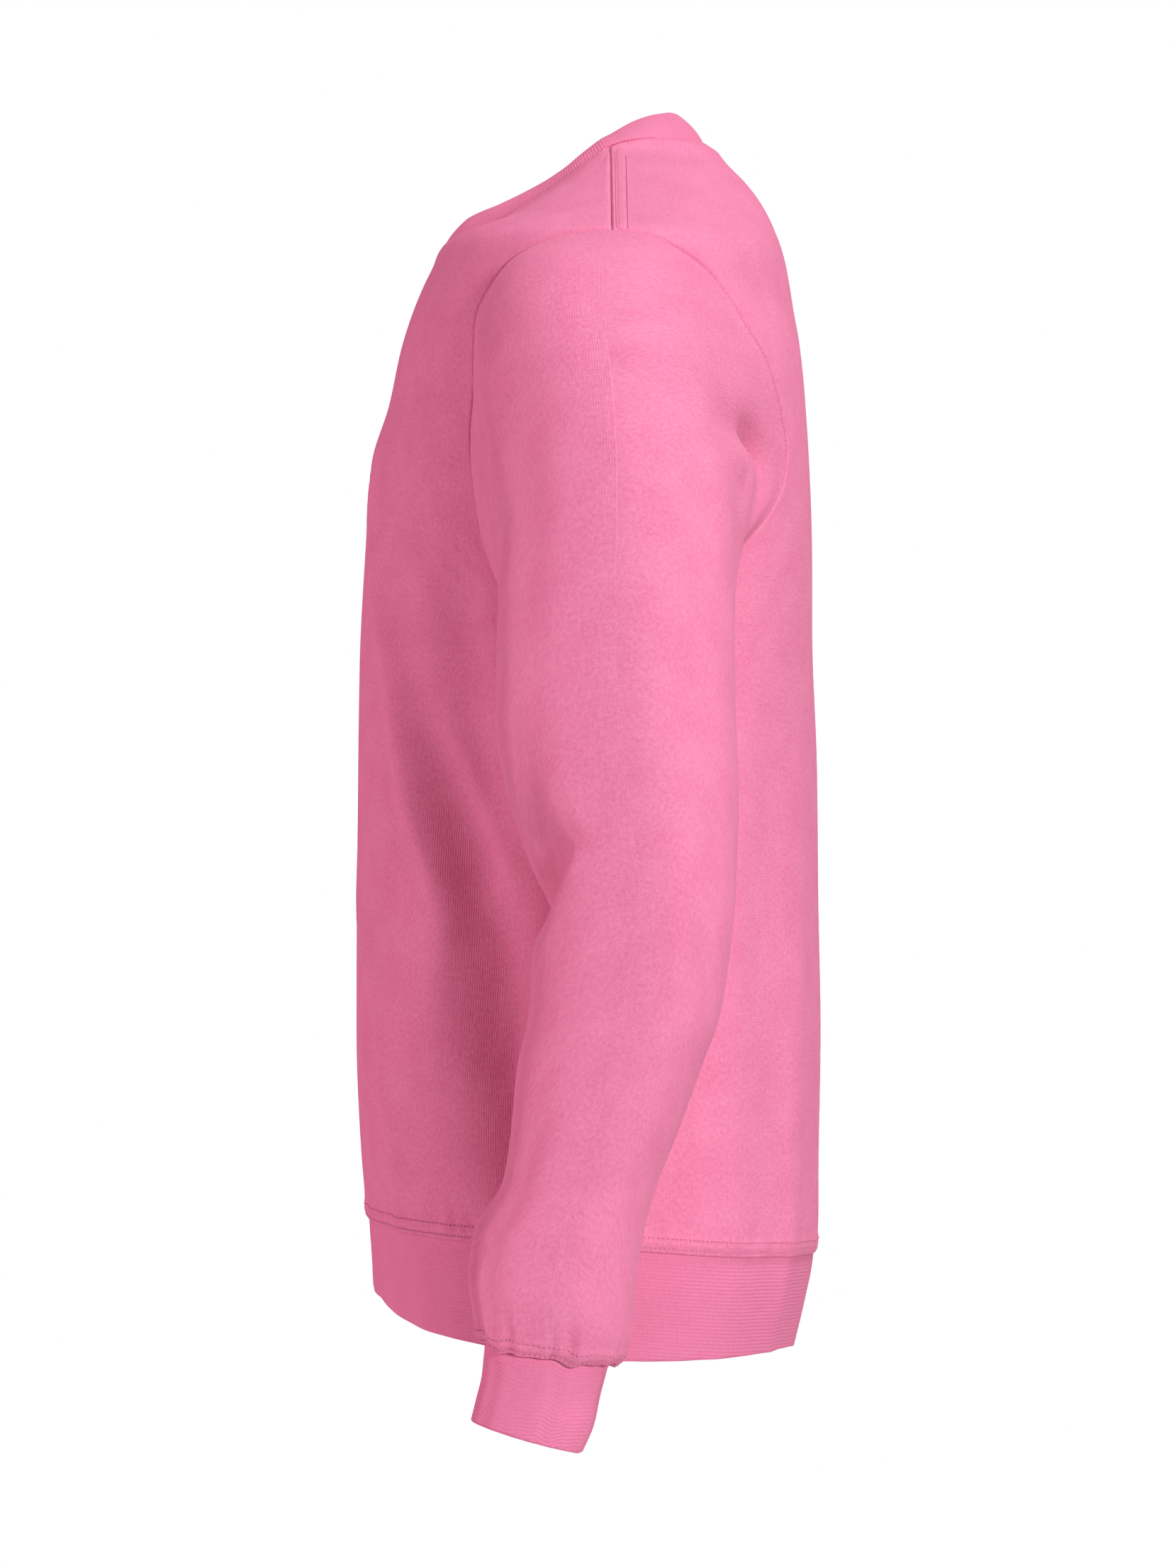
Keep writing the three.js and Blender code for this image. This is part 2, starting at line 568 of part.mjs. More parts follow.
function sleeveMeshes(sideName) {
  const side = sideName === "left" ? 1 : -1;
  const loop = armholes[sideName];
  const count = loop.length;
  const arounds = loop.map((_, k) => (360 * k) / count);
  const start = arounds.map((around) => sectionPoint(sleeveAt(0), around, side));
  const outer = sleeveMarks().map((along) => {
    const section = sleeveAt(along);
    const hold = 1 - smoothStep(along / capReach);
    return arounds.map((around, k) => {
      const point = sectionPoint(section, around, side);
      return point.addScaledVector(loop[k].point.clone().sub(start[k]), hold);
    });
  });
  const plain = tubeNormals(outer).map((row) => row.map((n) => n.multiplyScalar(side)));
  sleeveMarks().forEach((along, j) => {
    arounds.forEach((around, k) => {
      outer[j][k].addScaledVector(plain[j][k], foldRise(sleeveFolds, around, along));
    });
  });
  const normals = tubeNormals(outer).map((row) => row.map((n) => n.multiplyScalar(side)));
  loop.forEach((mark, k) => {
    outer[0][k].add(stepIn(mark, mark.point.clone().add(new THREE.Vector3(side, 0, 0))));
    normals[0][k] = mark.outward;
  });
  const end = outer[outer.length - 1];
  const endNormals = normals[normals.length - 1];
  const before = outer[outer.length - 2];
  const endMarks = loopFrame(
    end.map((point) => point.clone()),
    (_, k) => endNormals[k].clone(),
  );
  endMarks.forEach((mark, k) => {
    end[k].add(stepIn(mark, before[k]));
    endNormals[k] = mark.outward;
  });
  const cuff = cuffSections.map((section) =>
    arounds.map((around) => sectionPoint(section, around, side)),
  );
  cuff[0] = endMarks.map((mark, k) => {
    const step = stepIn(mark, before[k]).negate();
    return mark.point.clone().add(step).addScaledVector(mark.outward, -ribStep);
  });
  const cuffNormals = tubeNormals(cuff).map((row) => row.map((n) => n.multiplyScalar(side)));
  cuffNormals[0] = endMarks.map((mark) => mark.outward);
  return [
    clothMesh(`sleeve_${sideName}`, outer, innerGrid(outer, normals, fleeceWall), true, pinkFleece),
    clothMesh(`cuff_${sideName}`, cuff, innerGrid(cuff, cuffNormals, ribWall), true, pinkRib),
  ];
}

const front = panelGrid(0, neckFrontAt, neckSegmentsFront, armholeFrontAt, false);
const back = panelGrid(180, neckBackAt, neckSegmentsBack, armholeBackAt, true);

// Joins the marks of the front and back edge of a seam into one loop, right side to left and round.
function joinedLoop(frontMarks, backMarks) {
  const marks = [...frontMarks, ...backMarks.slice(1, -1).reverse()];
  return loopFrame(
    marks.map((mark) => mark.point.clone()),
    (_, k) => marks[k].outward.clone(),
  );
}

function hemRib() {
  const loop = joinedLoop(front.hemMarks, back.hemMarks);
  const turns = loop.map((mark) => {
    const s = bodyAt(mark.point.z);
    const depth = mark.point.y < s.side ? s.side - s.front : s.back - s.side;
    return Math.atan2(mark.point.x / s.half, (s.side - mark.point.y) / depth) / degree;
  });
  const outer = [0, 0.12, 0.55, 1].map((t) =>
    loop.map((mark, k) => {
      const edges = hemAt(Math.abs(turns[k]));
      const z = edges.seam + (edges.edge - edges.seam) * t;
      const point = bodyPoint(turns[k], z);
      return point.addScaledVector(bodyNormal(turns[k], z), -ribStep);
    }),
  );
  const normals = tubeNormals(outer).map((row) => row.map((n) => n.negate()));
  loop.forEach((mark, k) => {
    const step = stepIn(mark, mark.point.clone().add(new THREE.Vector3(0, 0, -1)));
    outer[0][k] = mark.point.clone().add(step).addScaledVector(mark.outward, -ribStep);
    normals[0][k] = mark.outward;
  });
  return clothMesh("hem_rib", outer, innerGrid(outer, normals, ribWall), true, pinkRib);
}

function neckRib() {
  const loop = joinedLoop(front.neckMarks, back.neckMarks);
  const shares = [];
  for (let k = -neckSegmentsFront; k <= neckSegmentsFront; k += 1) {
    shares.push({ read: neckFrontAt, share: Math.abs(k) / neckSegmentsFront, side: Math.sign(k) });
  }
  for (let k = neckSegmentsBack - 1; k > -neckSegmentsBack; k -= 1) {
    shares.push({ read: neckBackAt, share: Math.abs(k) / neckSegmentsBack, side: Math.sign(k) });
  }
  const reaches = shares.map(({ read, share, side }) => {
    const row = read(share);
    return new THREE.Vector3(side * row.reachX, row.reachY, row.reachZ);
  });
  const outer = [0, 0.35, 0.75, 1].map((t) =>
    loop.map((mark, k) => {
      const swell = collarRise + 1.6 * Math.sin(Math.PI * Math.min(1, t * 0.9 + 0.05));
      return mark.point
        .clone()
        .addScaledVector(reaches[k], t)
        .addScaledVector(mark.outward, t === 0 ? collarRise : swell);
    }),
  );
  const normals = tubeNormals(outer);
  loop.forEach((mark, k) => {
    outer[0][k].add(stepIn(mark, mark.point.clone().add(reaches[k])));
    normals[0][k] = mark.outward;
  });
  return clothMesh("neck_rib", outer, innerGrid(outer, normals, ribWall), true, pinkRib);
}

const group = new THREE.Group();
group.add(
  clothMesh(
    "front",
    front.outer,
    innerGrid(front.outer, front.normals, fleeceWall),
    false,
    pinkFleece,
  ),
  clothMesh(
    "back",
    back.outer,
    innerGrid(back.outer, back.normals, fleeceWall),
    false,
    pinkFleece,
  ),
  ...sleeveMeshes("left"),
  ...sleeveMeshes("right"),
  hemRib(),
  neckRib(),
);

export default group;
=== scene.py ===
import math

import bpy
import numpy as np
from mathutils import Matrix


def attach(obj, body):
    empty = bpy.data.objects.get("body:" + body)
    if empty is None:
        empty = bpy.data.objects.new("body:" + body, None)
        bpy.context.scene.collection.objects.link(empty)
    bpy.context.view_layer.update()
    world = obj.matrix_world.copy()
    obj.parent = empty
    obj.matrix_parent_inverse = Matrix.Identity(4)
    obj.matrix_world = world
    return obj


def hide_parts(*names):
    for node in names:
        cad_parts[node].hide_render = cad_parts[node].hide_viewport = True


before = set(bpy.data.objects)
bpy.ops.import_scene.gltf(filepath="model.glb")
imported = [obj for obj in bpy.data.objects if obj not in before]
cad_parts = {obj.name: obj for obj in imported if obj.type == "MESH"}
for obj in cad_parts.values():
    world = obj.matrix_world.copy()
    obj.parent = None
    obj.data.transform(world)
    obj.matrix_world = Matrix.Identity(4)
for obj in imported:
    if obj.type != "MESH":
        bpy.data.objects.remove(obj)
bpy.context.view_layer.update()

# Crewneck sweatshirt in its worn form. Every shape below is worked out in millimetres and becomes
# metres in addMesh. +X is the wearer's left, -Y the front, +Z up.

cameraSetup = {"place": (2.600, -0.0126, -0.3656), "lens": 100.75, "sensor": 36.0}

cameraData = bpy.data.cameras.new("sideCamera")
cameraData.lens = cameraSetup["lens"]
cameraData.sensor_width = cameraSetup["sensor"]
cameraData.clip_start = 0.1
cameraData.clip_end = 30.0
camera = bpy.data.objects.new("sideCamera", cameraData)
camera.location = cameraSetup["place"]
camera.rotation_euler = (math.pi / 2, 0.0, math.pi / 2)
bpy.context.scene.collection.objects.link(camera)
bpy.context.scene.camera = camera
print("camera set")

seamGap = 0.06
ribStep = 1.2
topReach = 6


# Cubic through the rows of a table that never overshoots a row: each tangent is the weighted
# harmonic mean of the slopes on its two sides. A level curve starts flat, for a seam's centre line.
def curveReader(keys, values, level=False):
    keys = np.asarray(keys, float)
    values = np.asarray(values, float)
    steps = np.diff(keys)
    slopes = np.diff(values) / steps
    tangents = np.concatenate([slopes[:1] * (not level), np.zeros(len(keys) - 2), slopes[-1:]])
    before = 2 * steps[1:] + steps[:-1]
    after = steps[1:] + 2 * steps[:-1]
    turning = slopes[:-1] * slopes[1:] <= 0
    safeA = np.where(turning, 1.0, slopes[:-1])
    safeB = np.where(turning, 1.0, slopes[1:])
    tangents[1:-1] = np.where(turning, 0.0, (before + after) / (before / safeA + after / safeB))

    def read(at):
        at = np.asarray(at, float)
        i = np.clip(np.searchsorted(keys, at, side="right") - 1, 0, len(steps) - 1)
        t = np.clip((at - keys[i]) / steps[i], 0.0, 1.0)
        h = steps[i]
        t2 = t * t
        t3 = t2 * t
        start = (2 * t3 - 3 * t2 + 1) * values[i] + (t3 - 2 * t2 + t) * h * tangents[i]
        end = (3 * t2 - 2 * t3) * values[i + 1] + (t3 - t2) * h * tangents[i + 1]
        return start + end

    return read


def tableReader(table, key, level=()):
    names = [name for name in table if name != key]
    readers = {name: curveReader(table[key], table[name], name in level) for name in names}
    return lambda at: {name: read(at) for name, read in readers.items()}


def tableOf(names, *rows):
    return dict(zip(names.split(), np.array(rows, float).T))


def smoothStep(t):
    c = np.clip(t, 0.0, 1.0)
    return c * c * (3 - 2 * c)


def unit(v):
    return v / np.maximum(np.linalg.norm(v, axis=-1, keepdims=True), 1e-12)


# Shares from 0 to 1 whose steps shrink to the given ratio at either end.
def gradedShares(count, nearStart, nearEnd, band=0.3):
    s = (np.arange(count) + 0.5) / count
    step = nearStart + (1 - nearStart) * smoothStep(s / band)
    step = step * (nearEnd + (1 - nearEnd) * smoothStep((1 - s) / band))
    return np.concatenate([[0.0], np.cumsum(step) / step.sum()])


# Uneven wave round a loop: a sum of sines whose counts, heights and starts are listed.
def unevenWave(turn, waves):
    angle = np.radians(turn)
    return sum(height * np.sin(count * angle + start) for count, height, start in waves)


# Height of the folds over a surface. A fold is a line through (turn, place) rows with its rise and
# its reach on either side in millimetres: rise times exp(-(distance / reach) squared), where the
# distance is to the nearest point of the line and scale turns degrees into millimetres.
def foldRise(folds, turn, place, scale):
    total = np.zeros(np.broadcast(turn, place).shape)
    for rows in folds.values():
        line = np.array(rows, float)
        x = line[:, 0] * scale
        length = np.concatenate([[0.0], np.cumsum(np.hypot(np.diff(x), np.diff(line[:, 1])))])
        at = np.linspace(0.0, length[-1], 56)
        lineX, lineY = curveReader(length, x)(at), curveReader(length, line[:, 1])(at)
        rise, left, right = (curveReader(length, line[:, k])(at) for k in (2, 3, 4))
        alongX, alongY = np.gradient(lineX), np.gradient(lineY)
        best = np.full(total.shape, 1e12)
        near = np.zeros(total.shape, int)
        for k in range(len(at)):
            d = (turn * scale - lineX[k]) ** 2 + (place - lineY[k]) ** 2
            near = np.where(d < best, k, near)
            best = np.minimum(best, d)
        offX, offY = turn * scale - lineX[near], place - lineY[near]
        onLeft = alongX[near] * offY - alongY[near] * offX > 0
        reach = np.where(onLeft, left[near], right[near])
        total = total + rise[near] * np.exp(-best / reach**2)
    return total


body = {
    "sections": tableOf(
        "z half front back side frontPower backPower",
        (-720, 186, -132, 103, -8, 2.3, 2.4),
        (-699, 190, -136, 108, -8, 2.3, 2.4),
        (-665, 197, -139.5, 116, -8, 2.3, 2.4),
        (-640, 202, -140.5, 120.5, -8, 2.3, 2.4),
        (-615, 204, -142.2, 122, -8, 2.3, 2.4),
        (-581, 205, -144.7, 121.6, -8, 2.3, 2.4),
        (-514, 207, -147.6, 122, -8, 2.25, 2.4),
        (-430, 208, -148, 120.7, -8, 2.2, 2.4),
        (-363, 208, -148, 120.3, -8, 2.2, 2.5),
        (-296, 208, -147.2, 118.6, -8, 2.2, 2.8),
        (-229, 209, -143.8, 117.6, -8, 2.2, 3.3),
        (-178, 214, -140.1, 115.2, -8, 2.2, 3.6),
        (-145, 222, -130, 113, -7, 2.2, 3.5),
        (-111, 233, -122.4, 110.6, -5, 2.2, 2.8),
        (-92, 236, -116.2, 108.2, -3, 2.2, 2.45),
        (-77.5, 236, -110.2, 106.3, -1, 2.2, 2.35),
        (-66, 231.5, -104.6, 104.6, 0, 2.2, 2.3),
        (-55, 208, -100, 102.3, 0, 2.2, 2.3),
        (-46.6, 190, -76, 100, 0, 2.2, 2.25),
        (-34.5, 163, -56.7, 95.8, 0, 2.2, 2.2),
        (-25, 142.5, -41.7, 91, 0, 2.2, 2.2),
        (-14, 118.5, -28, 83.4, 0, 2.2, 2.2),
        (0, 88, -12, 71, 0, 2.2, 2.2),
        (3, 86.8, -10, 68.6, 0, 2.2, 2.2),
        (5.3, 83, -9, 67, 0, 2.2, 2.2),
        (8, 72.6, -8, 64, 0, 2.2, 2.2),
        (11.5, 56.5, -7, 59, 0, 2.2, 2.2),
        (12.8, 50, -6, 56.5, 0, 2.2, 2.2),
    ),
    "neckSeam": tableOf(
        "x y z reachX reachY reachZ",
        (0, -100, -55, 0, 14, 19),
        (45, -90, -52, -2, 13.5, 17.5),
        (68, -70, -46.6, -8, 10, 16.5),
        (80, -51, -34.5, -14, 7.5, 13),
        (85, -35, -25, -18, 3.5, 10.5),
        (88, -20, -14, -20, 0, 8),
        (88.4, -10.3, -7, -20, -1.6, 7.8),
        (88.5, -4.6, -3, -20, -2.3, 7.6),
        (88.5, 0, 0, -20, -3, 7.5),
        (86.5, 10, 3, -19, -5, 9),
        (80, 21, 5.3, -17, -7, 12),
        (62, 36.6, 8, -11, -10, 15),
        (33, 50, 11.5, -4.5, -13, 16),
        (0, 56.5, 12.8, 0, -14.5, 15.7),
    ),
    "armholeFront": tableOf(
        "y z",
        (0, -66), (-21, -67.7), (-38, -72), (-55, -80.6), (-68, -97), (-73.5, -108), (-75, -129),
        (-75.3, -151), (-75.3, -194), (-72, -215), (-66, -232), (-57, -249), (-44, -266),
        (-27, -280), (-8, -285),
    ),
    "armholeBack": tableOf(
        "y z",
        (0, -66), (21, -69), (34, -75), (54, -88), (67, -103.5), (73, -113.5), (84, -129.5),
        (93, -155), (98, -181), (96, -198), (88, -215), (78, -228), (66, -240), (45, -259),
        (20, -277), (-8, -285),
    ),
    "hemLine": tableOf(
        "turn seam edge",
        (-20, -619, -661.8), (0, -619.5, -660.5), (20, -619, -661.8), (33, -618.2, -667), (45, -618, -671.5),
        (58, -618.2, -675), (90, -620, -682.5), (134, -630, -685.5), (151, -634, -688),
        (165, -638, -692.5), (180, -640, -698), (195, -638, -692.5),
    ),
    "foldScale": 3.0,
    # Rows are turn, z, rise, reach to the left and reach to the right of the line's direction.
    "folds": {
        "leftChestDrape": [(13, -170, 0, 12, 8), (18, -212, 2.4, 14, 8), (34, -298, 4.0, 16, 8),
                           (42, -370, 4.4, 16, 8), (48, -414, 3.0, 14, 8), (55, -470, 0, 12, 10)],
        "leftChestHollow": [(26, -205, 0, 20, 16), (37, -275, -3, 22, 16), (49, -350, -5, 20, 15),
                            (57, -410, -4, 18, 14), (62, -455, 0, 16, 14)],
        "leftHipDrape": [(5, -405, 0, 14, 10), (10, -434, 1.3, 14, 10), (28, -486, 2.8, 16, 9),
                         (35, -550, 3.0, 16, 9), (38, -600, 1.4, 15, 9), (39, -640, 0, 14, 9)],
        "leftHipHollow": [(14, -455, 0, 9, 16), (23, -505, -2.2, 10, 18), (29, -560, -2.8, 10, 20),
                          (32, -605, -1.4, 9, 20), (33, -645, 0, 8, 18)],
        "leftSideTrough": [(56, -232, 0, 20, 22), (57, -262, -5, 22, 26), (58, -300, -9, 25, 30),
                           (62, -390, -13.5, 30, 34), (67, -473, -15, 32, 34), (72, -540, -9, 27, 28),
                           (75, -600, -3, 22, 22), (76, -640, 0, 20, 20)],
        "leftElbowRidge": [(50, -318, 0, 9, 8), (54, -342, 1.8, 10, 8), (61, -375, 2.4, 10, 8),
                           (68, -408, 2.4, 9, 8), (73, -432, 0, 8, 8)],
        "leftBackCrease": [(142.6, -470, 0, 3.2, 3.2), (142.5, -530, 0.8, 3.2, 3.2),
                           (142.3, -625, 1.1, 3, 3), (142.1, -662, 0.7, 3, 3), (142, -695, 0, 3, 3)],
        "leftBackDrape": [(151, -400, 0, 14, 14), (148, -460, 1.5, 14, 12), (146, -540, 2.3, 14, 11),
                          (144, -630, 1.8, 14, 11), (143, -690, 0.6, 14, 11)],
        "leftBackHollow": [(137, -290, 0, 20, 20), (136, -380, -3, 22, 20), (134, -500, -3.5, 22, 20),
                           (134, -620, -2, 20, 18), (134, -665, 0, 18, 18)],
        "rightChestDrape": [(-16, -175, 0, 10, 12), (-24, -225, 1.6, 10, 14), (-37, -305, 2.6, 10, 16),
                            (-46, -380, 2.6, 9, 16), (-54, -455, 0, 9, 14)],
        "rightChestHollow": [(-30, -210, 0, 16, 20), (-41, -285, -3, 16, 22), (-53, -360, -4, 15, 20),
                             (-63, -440, 0, 14, 18)],
        "rightHipDrape": [(-9, -400, 0, 10, 14), (-22, -470, 2.2, 9, 16), (-35, -560, 3.0, 8, 16),
                          (-41, -640, 1.6, 8, 15), (-43, -690, 0, 8, 14)],
        "rightSideTrough": [(-58, -238, 0, 22, 22), (-62, -310, -5.5, 26, 24), (-68, -430, -7, 28, 24),
                            (-74, -560, -5, 26, 22), (-77, -630, 0, 22, 20)],
        "rightBackDrape": [(-153, -370, 0, 14, 14), (-149, -470, 2.2, 13, 14), (-147, -600, 2.4, 12, 14),
                           (-146, -690, 0.5, 12, 14)],
        "rightBackHollow": [(-139, -305, 0, 20, 20), (-135, -420, -3, 20, 22), (-132, -560, -2.5, 20, 22),
                            (-131, -640, 0, 18, 20)],
        "napeHollow": [(180, 40, -1.2, 100, 100), (180, 0, -1.6, 90, 90), (180, -40, -2.4, 50, 50),
                       (180, -75, -1.6, 36, 36), (180, -115, 0, 30, 30)],
        "backCentreDrape": [(176, -250, 0, 16, 18), (173, -360, 1.8, 18, 20), (170, -500, 2.2, 18, 18),
                            (168, -640, 0.6, 16, 16)],
        "frontCentreDrape": [(-3, -330, 0, 20, 20), (-1, -430, 1.4, 22, 22), (3, -560, 1.8, 20, 22),
                             (5, -650, 0.5, 18, 20)],
    },
    "neckShare": {"front": 11 / 17, "back": 8 / 14},
    "armpitShare": 18 / 32,
}

bodyAt = tableReader(body["sections"], "z")
hemAt = tableReader(body["hemLine"], "turn")


# Body without folds: level rings between an ellipse and a box. With a = sin(turn), b = cos(turn) the
# reach is (|a|^p + |b|^p)^(-1/p), x is half * a * reach and y is side - depth * b * reach.
def bodyForm(turn, z):
    s = bodyAt(z)
    across = np.sin(np.radians(turn))
    ahead = np.cos(np.radians(turn))
    power = np.where(ahead > 0, s["frontPower"], s["backPower"])
    reach = (np.abs(across) ** power + np.abs(ahead) ** power) ** (-1 / power)
    depth = np.where(ahead > 0, s["side"] - s["front"], s["back"] - s["side"])
    x = s["half"] * across * reach
    y = s["side"] - depth * ahead * reach
    return np.stack([x, y, np.broadcast_to(z, x.shape)], axis=-1)


def formNormal(form, turn, z, stepTurn, stepZ):
    alongTurn = form(turn + stepTurn, z) - form(turn - stepTurn, z)
    alongZ = form(turn, z + stepZ) - form(turn, z - stepZ)
    return unit(np.cross(alongTurn, alongZ))


def bodyFolds(turn, z):
    wrapped = (np.asarray(turn) + 180) % 360 - 180
    rise = foldRise(body["folds"], wrapped, z, body["foldScale"])
    beyond = np.where(wrapped < 0, wrapped + 360, wrapped - 360)
    return rise + foldRise(body["folds"], beyond, z, body["foldScale"])


# Body with its folds: the form moved along its normal by the height of the folds.
def bodyPoint(turn, z):
    normal = formNormal(bodyForm, turn, z, 0.2, 0.5)
    return bodyForm(turn, z) + normal * bodyFolds(turn, z)[..., None]


def turnFromDirection(x, y, z):
    s = bodyAt(z)
    depth = np.where(y < s["side"], s["side"] - s["front"], s["back"] - s["side"])
    return np.degrees(np.arctan2(x / s["half"], (s["side"] - y) / depth))


def turnFromReach(y, z):
    s = bodyAt(z)
    isFront = y < s["side"]
    depth = np.where(isFront, s["side"] - s["front"], s["back"] - s["side"])
    power = np.where(isFront, s["frontPower"], s["backPower"])
    ahead = np.minimum(1.0, np.abs(y - s["side"]) / depth)
    turn = np.degrees(np.arctan2((1 - ahead**power) ** (1 / power), ahead))
    return np.where(isFront, turn, 180 - turn)


# A seam on the body through rows of turn and height, read at shares of its length.
def seamReader(table, level=()):
    points = bodyForm(table["turn"], table["z"])
    length = np.concatenate([[0.0], np.cumsum(np.linalg.norm(np.diff(points, axis=0), axis=1))])
    read = tableReader({**table, "length": length}, "length", level)
    return lambda share: read(np.asarray(share) * length[-1])


neck = dict(body["neckSeam"])
neck["turn"] = turnFromDirection(neck["x"], neck["y"], neck["z"])
neck["turn"][[0, 8, -1]] = 0, 90, 180
neckLevel = ("z", "reachY", "reachZ")
neckAt = {
    "front": seamReader({name: column[:9] for name, column in neck.items()}, neckLevel),
    "back": seamReader({name: column[8:][::-1] for name, column in neck.items()}, neckLevel),
}
armholeAt = {}
for part, rows in (("front", body["armholeFront"]), ("back", body["armholeBack"])):
    armholeAt[part] = seamReader({"turn": turnFromReach(rows["y"], rows["z"]), "z": rows["z"]})

sideShares = gradedShares(92, 0.22, 0.6, 0.2)
armholeShares = gradedShares(98, 0.1, 1.0, 0.3)
neckShares = gradedShares(50, 1.0, 0.8)
shoulderShares = gradedShares(34, 0.8, 0.22, 0.5)


# One panel as turn and height over a grid of shares across it and up it. Straight lines lead from the
# centre line to the side. The bow of the hem edge is added times (1 - up), and the bow of the top edge
# times up ^ topReach.
def panelGrid(part):
    centreTurn = 0.0 if part == "front" else 180.0
    neckShare, armpitShare = body["neckShare"][part], body["armpitShare"]
    u = np.concatenate([neckShares * neckShare, neckShare + shoulderShares[1:] * (1 - neckShare)])
    v = np.concatenate([sideShares * armpitShare, 1 - armholeShares[::-1][1:] * (1 - armpitShare)])
    tipZ, armpitZ = body["armholeFront"]["z"][0], body["armholeFront"]["z"][-1]
    neckRow = neckAt[part](np.minimum(1.0, u / neckShare))
    shoulder = np.clip((u - neckShare) / (1 - neckShare), 0, 1)
    onNeck = u <= neckShare
    bottomTurn = centreTurn + (90 - centreTurn) * u
    bottomZ = hemAt(bottomTurn)["seam"]
    topTurn = np.where(onNeck, neckRow["turn"], 90.0)
    topZ = np.where(onNeck, neckRow["z"], tipZ * shoulder)
    armRow = armholeAt[part](np.clip((1 - v) / (1 - armpitShare), 0, 1))
    onSide = v <= armpitShare
    sideTurn = np.where(onSide, 90.0, armRow["turn"])
    sideZ = np.where(onSide, bottomZ[-1] + (armpitZ - bottomZ[-1]) * v / armpitShare, armRow["z"])
    middleTurn = np.full(v.shape, centreTurn)
    middleZ = bottomZ[0] + (topZ[0] - bottomZ[0]) * v
    across, up = u[None, :], v[:, None]

    def blend(bottom, top, middle, side):
        straight = (1 - across) * middle[:, None] + across * side[:, None]
        bowBelow = bottom - (1 - across) * bottom[0] - across * bottom[-1]
        bowAbove = top - (1 - across) * top[0] - across * top[-1]
        return straight + (1 - up) * bowBelow + up**topReach * bowAbove

    turn = blend(bottomTurn, topTurn, middleTurn, sideTurn)
    z = blend(bottomZ, topZ, middleZ, sideZ)
    turn = np.concatenate([-turn[:, :0:-1], turn], axis=1)
    z = np.concatenate([z[:, :0:-1], z], axis=1)
    u = np.concatenate([-u[:0:-1], u])
    return turn, z, u, v


def arcFrom(points, axis, backwards=False):
    if backwards:
        return np.flip(arcFrom(np.flip(points, axis), axis), axis)
    length = np.cumsum(np.linalg.norm(np.diff(points, axis=axis), axis=-1), axis=axis)
    start = np.zeros_like(np.take(length, [0], axis=axis))
    return np.concatenate([start, length], axis=axis)


def gridNormals(points, wrap=False):
    if wrap:
        padded = np.concatenate([points[:, -2:], points, points[:, :2]], axis=1)
        return gridNormals(padded)[:, 2:-2]
    return unit(np.cross(np.gradient(points, axis=1), np.gradient(points, axis=0)))


# Tangent and outward direction at each point of a seam; outward is made square to the tangent.
def seamFrame(points, outward, closed):
    if closed:
        tangent = np.roll(points, -1, axis=0) - np.roll(points, 1, axis=0)
    else:
        tangent = np.gradient(points, axis=0)
    tangent = unit(tangent)
    outward = unit(outward - tangent * (outward * tangent).sum(-1, keepdims=True))
    return tangent, outward


# Half the seam gap, along the cloth and square to the seam, towards the cloth's inside.
def stepIn(points, tangent, outward, inside):
    across = unit(np.cross(outward, tangent))
    facing = np.sign((across * (inside - points)).sum(-1, keepdims=True))
    return across * facing * seamGap / 2


# Closed loop of an armhole seam from the shoulder tip down the front and up the back. Outward is
# away from the loop's middle, for both cloths.
def armholeLoop(side):
    frontRow = armholeAt["front"](armholeShares)
    backRow = armholeAt["back"](armholeShares[::-1])
    turn = side * np.concatenate([frontRow["turn"], backRow["turn"][1:-1]])
    z = np.concatenate([frontRow["z"], backRow["z"][1:-1]])
    points = bodyPoint(turn, z)
    tangent, outward = seamFrame(points, points - points.mean(axis=0), True)
    return {"points": points, "tangent": tangent, "outward": outward}


armholes = {1: armholeLoop(1), -1: armholeLoop(-1)}
aroundShares = np.concatenate([armholeShares / 2, 1 - armholeShares[::-1][1:-1] / 2])

# Relief beside the seams: how far the cloth stands up or dips at a distance from the seam.
seamRelief = {
    "edgeReach": 1.2,
    "stitchDip": 0.8,
    "stitchReach": 0.9,
    "swellStart": 1.4,
    "swellFade": 2.0,
    "hem": {"drop": 0.8, "rows": (3.0, 8.8), "swell": 0.9, "end": 9.2},
    "wrist": {"drop": 1.0, "rows": (3.0, 8.8), "swell": 1.6, "end": 9.4},
    "armhole": {"drop": 0.9, "rows": (), "swell": 0.1, "end": 4.0},
    "side": {"drop": 0.4, "rows": (), "swell": 0.1, "end": 4.0},
    "shoulderBack": {"drop": 0.9, "rows": (3.0, 9.2), "swell": 0.8, "end": 9.6},
    "shoulderFront": {"drop": 0.9, "rows": (), "swell": 0.1, "end": 4.0},
    "neckFront": {"drop": 0.7, "rows": (3.4,), "swell": 0.8, "end": 3.8},
    "neckBack": {"drop": 0.7, "rows": (), "swell": 0.3, "end": 3.8},
}


# A drop at the seam's edge, a dip under each row of stitches and a swell between them.
def reliefAt(distance, name):
    form = seamRelief[name]
    rise = -form["drop"] * np.exp(-((distance / seamRelief["edgeReach"]) ** 2))
    for row in form["rows"]:
        share = (distance - row) / seamRelief["stitchReach"]
        rise = rise - seamRelief["stitchDip"] * np.exp(-(share**2))
    swell = smoothStep(distance / seamRelief["swellStart"])
    swell = swell * (1 - smoothStep((distance - form["end"]) / seamRelief["swellFade"]))
    return rise + form["swell"] * swell


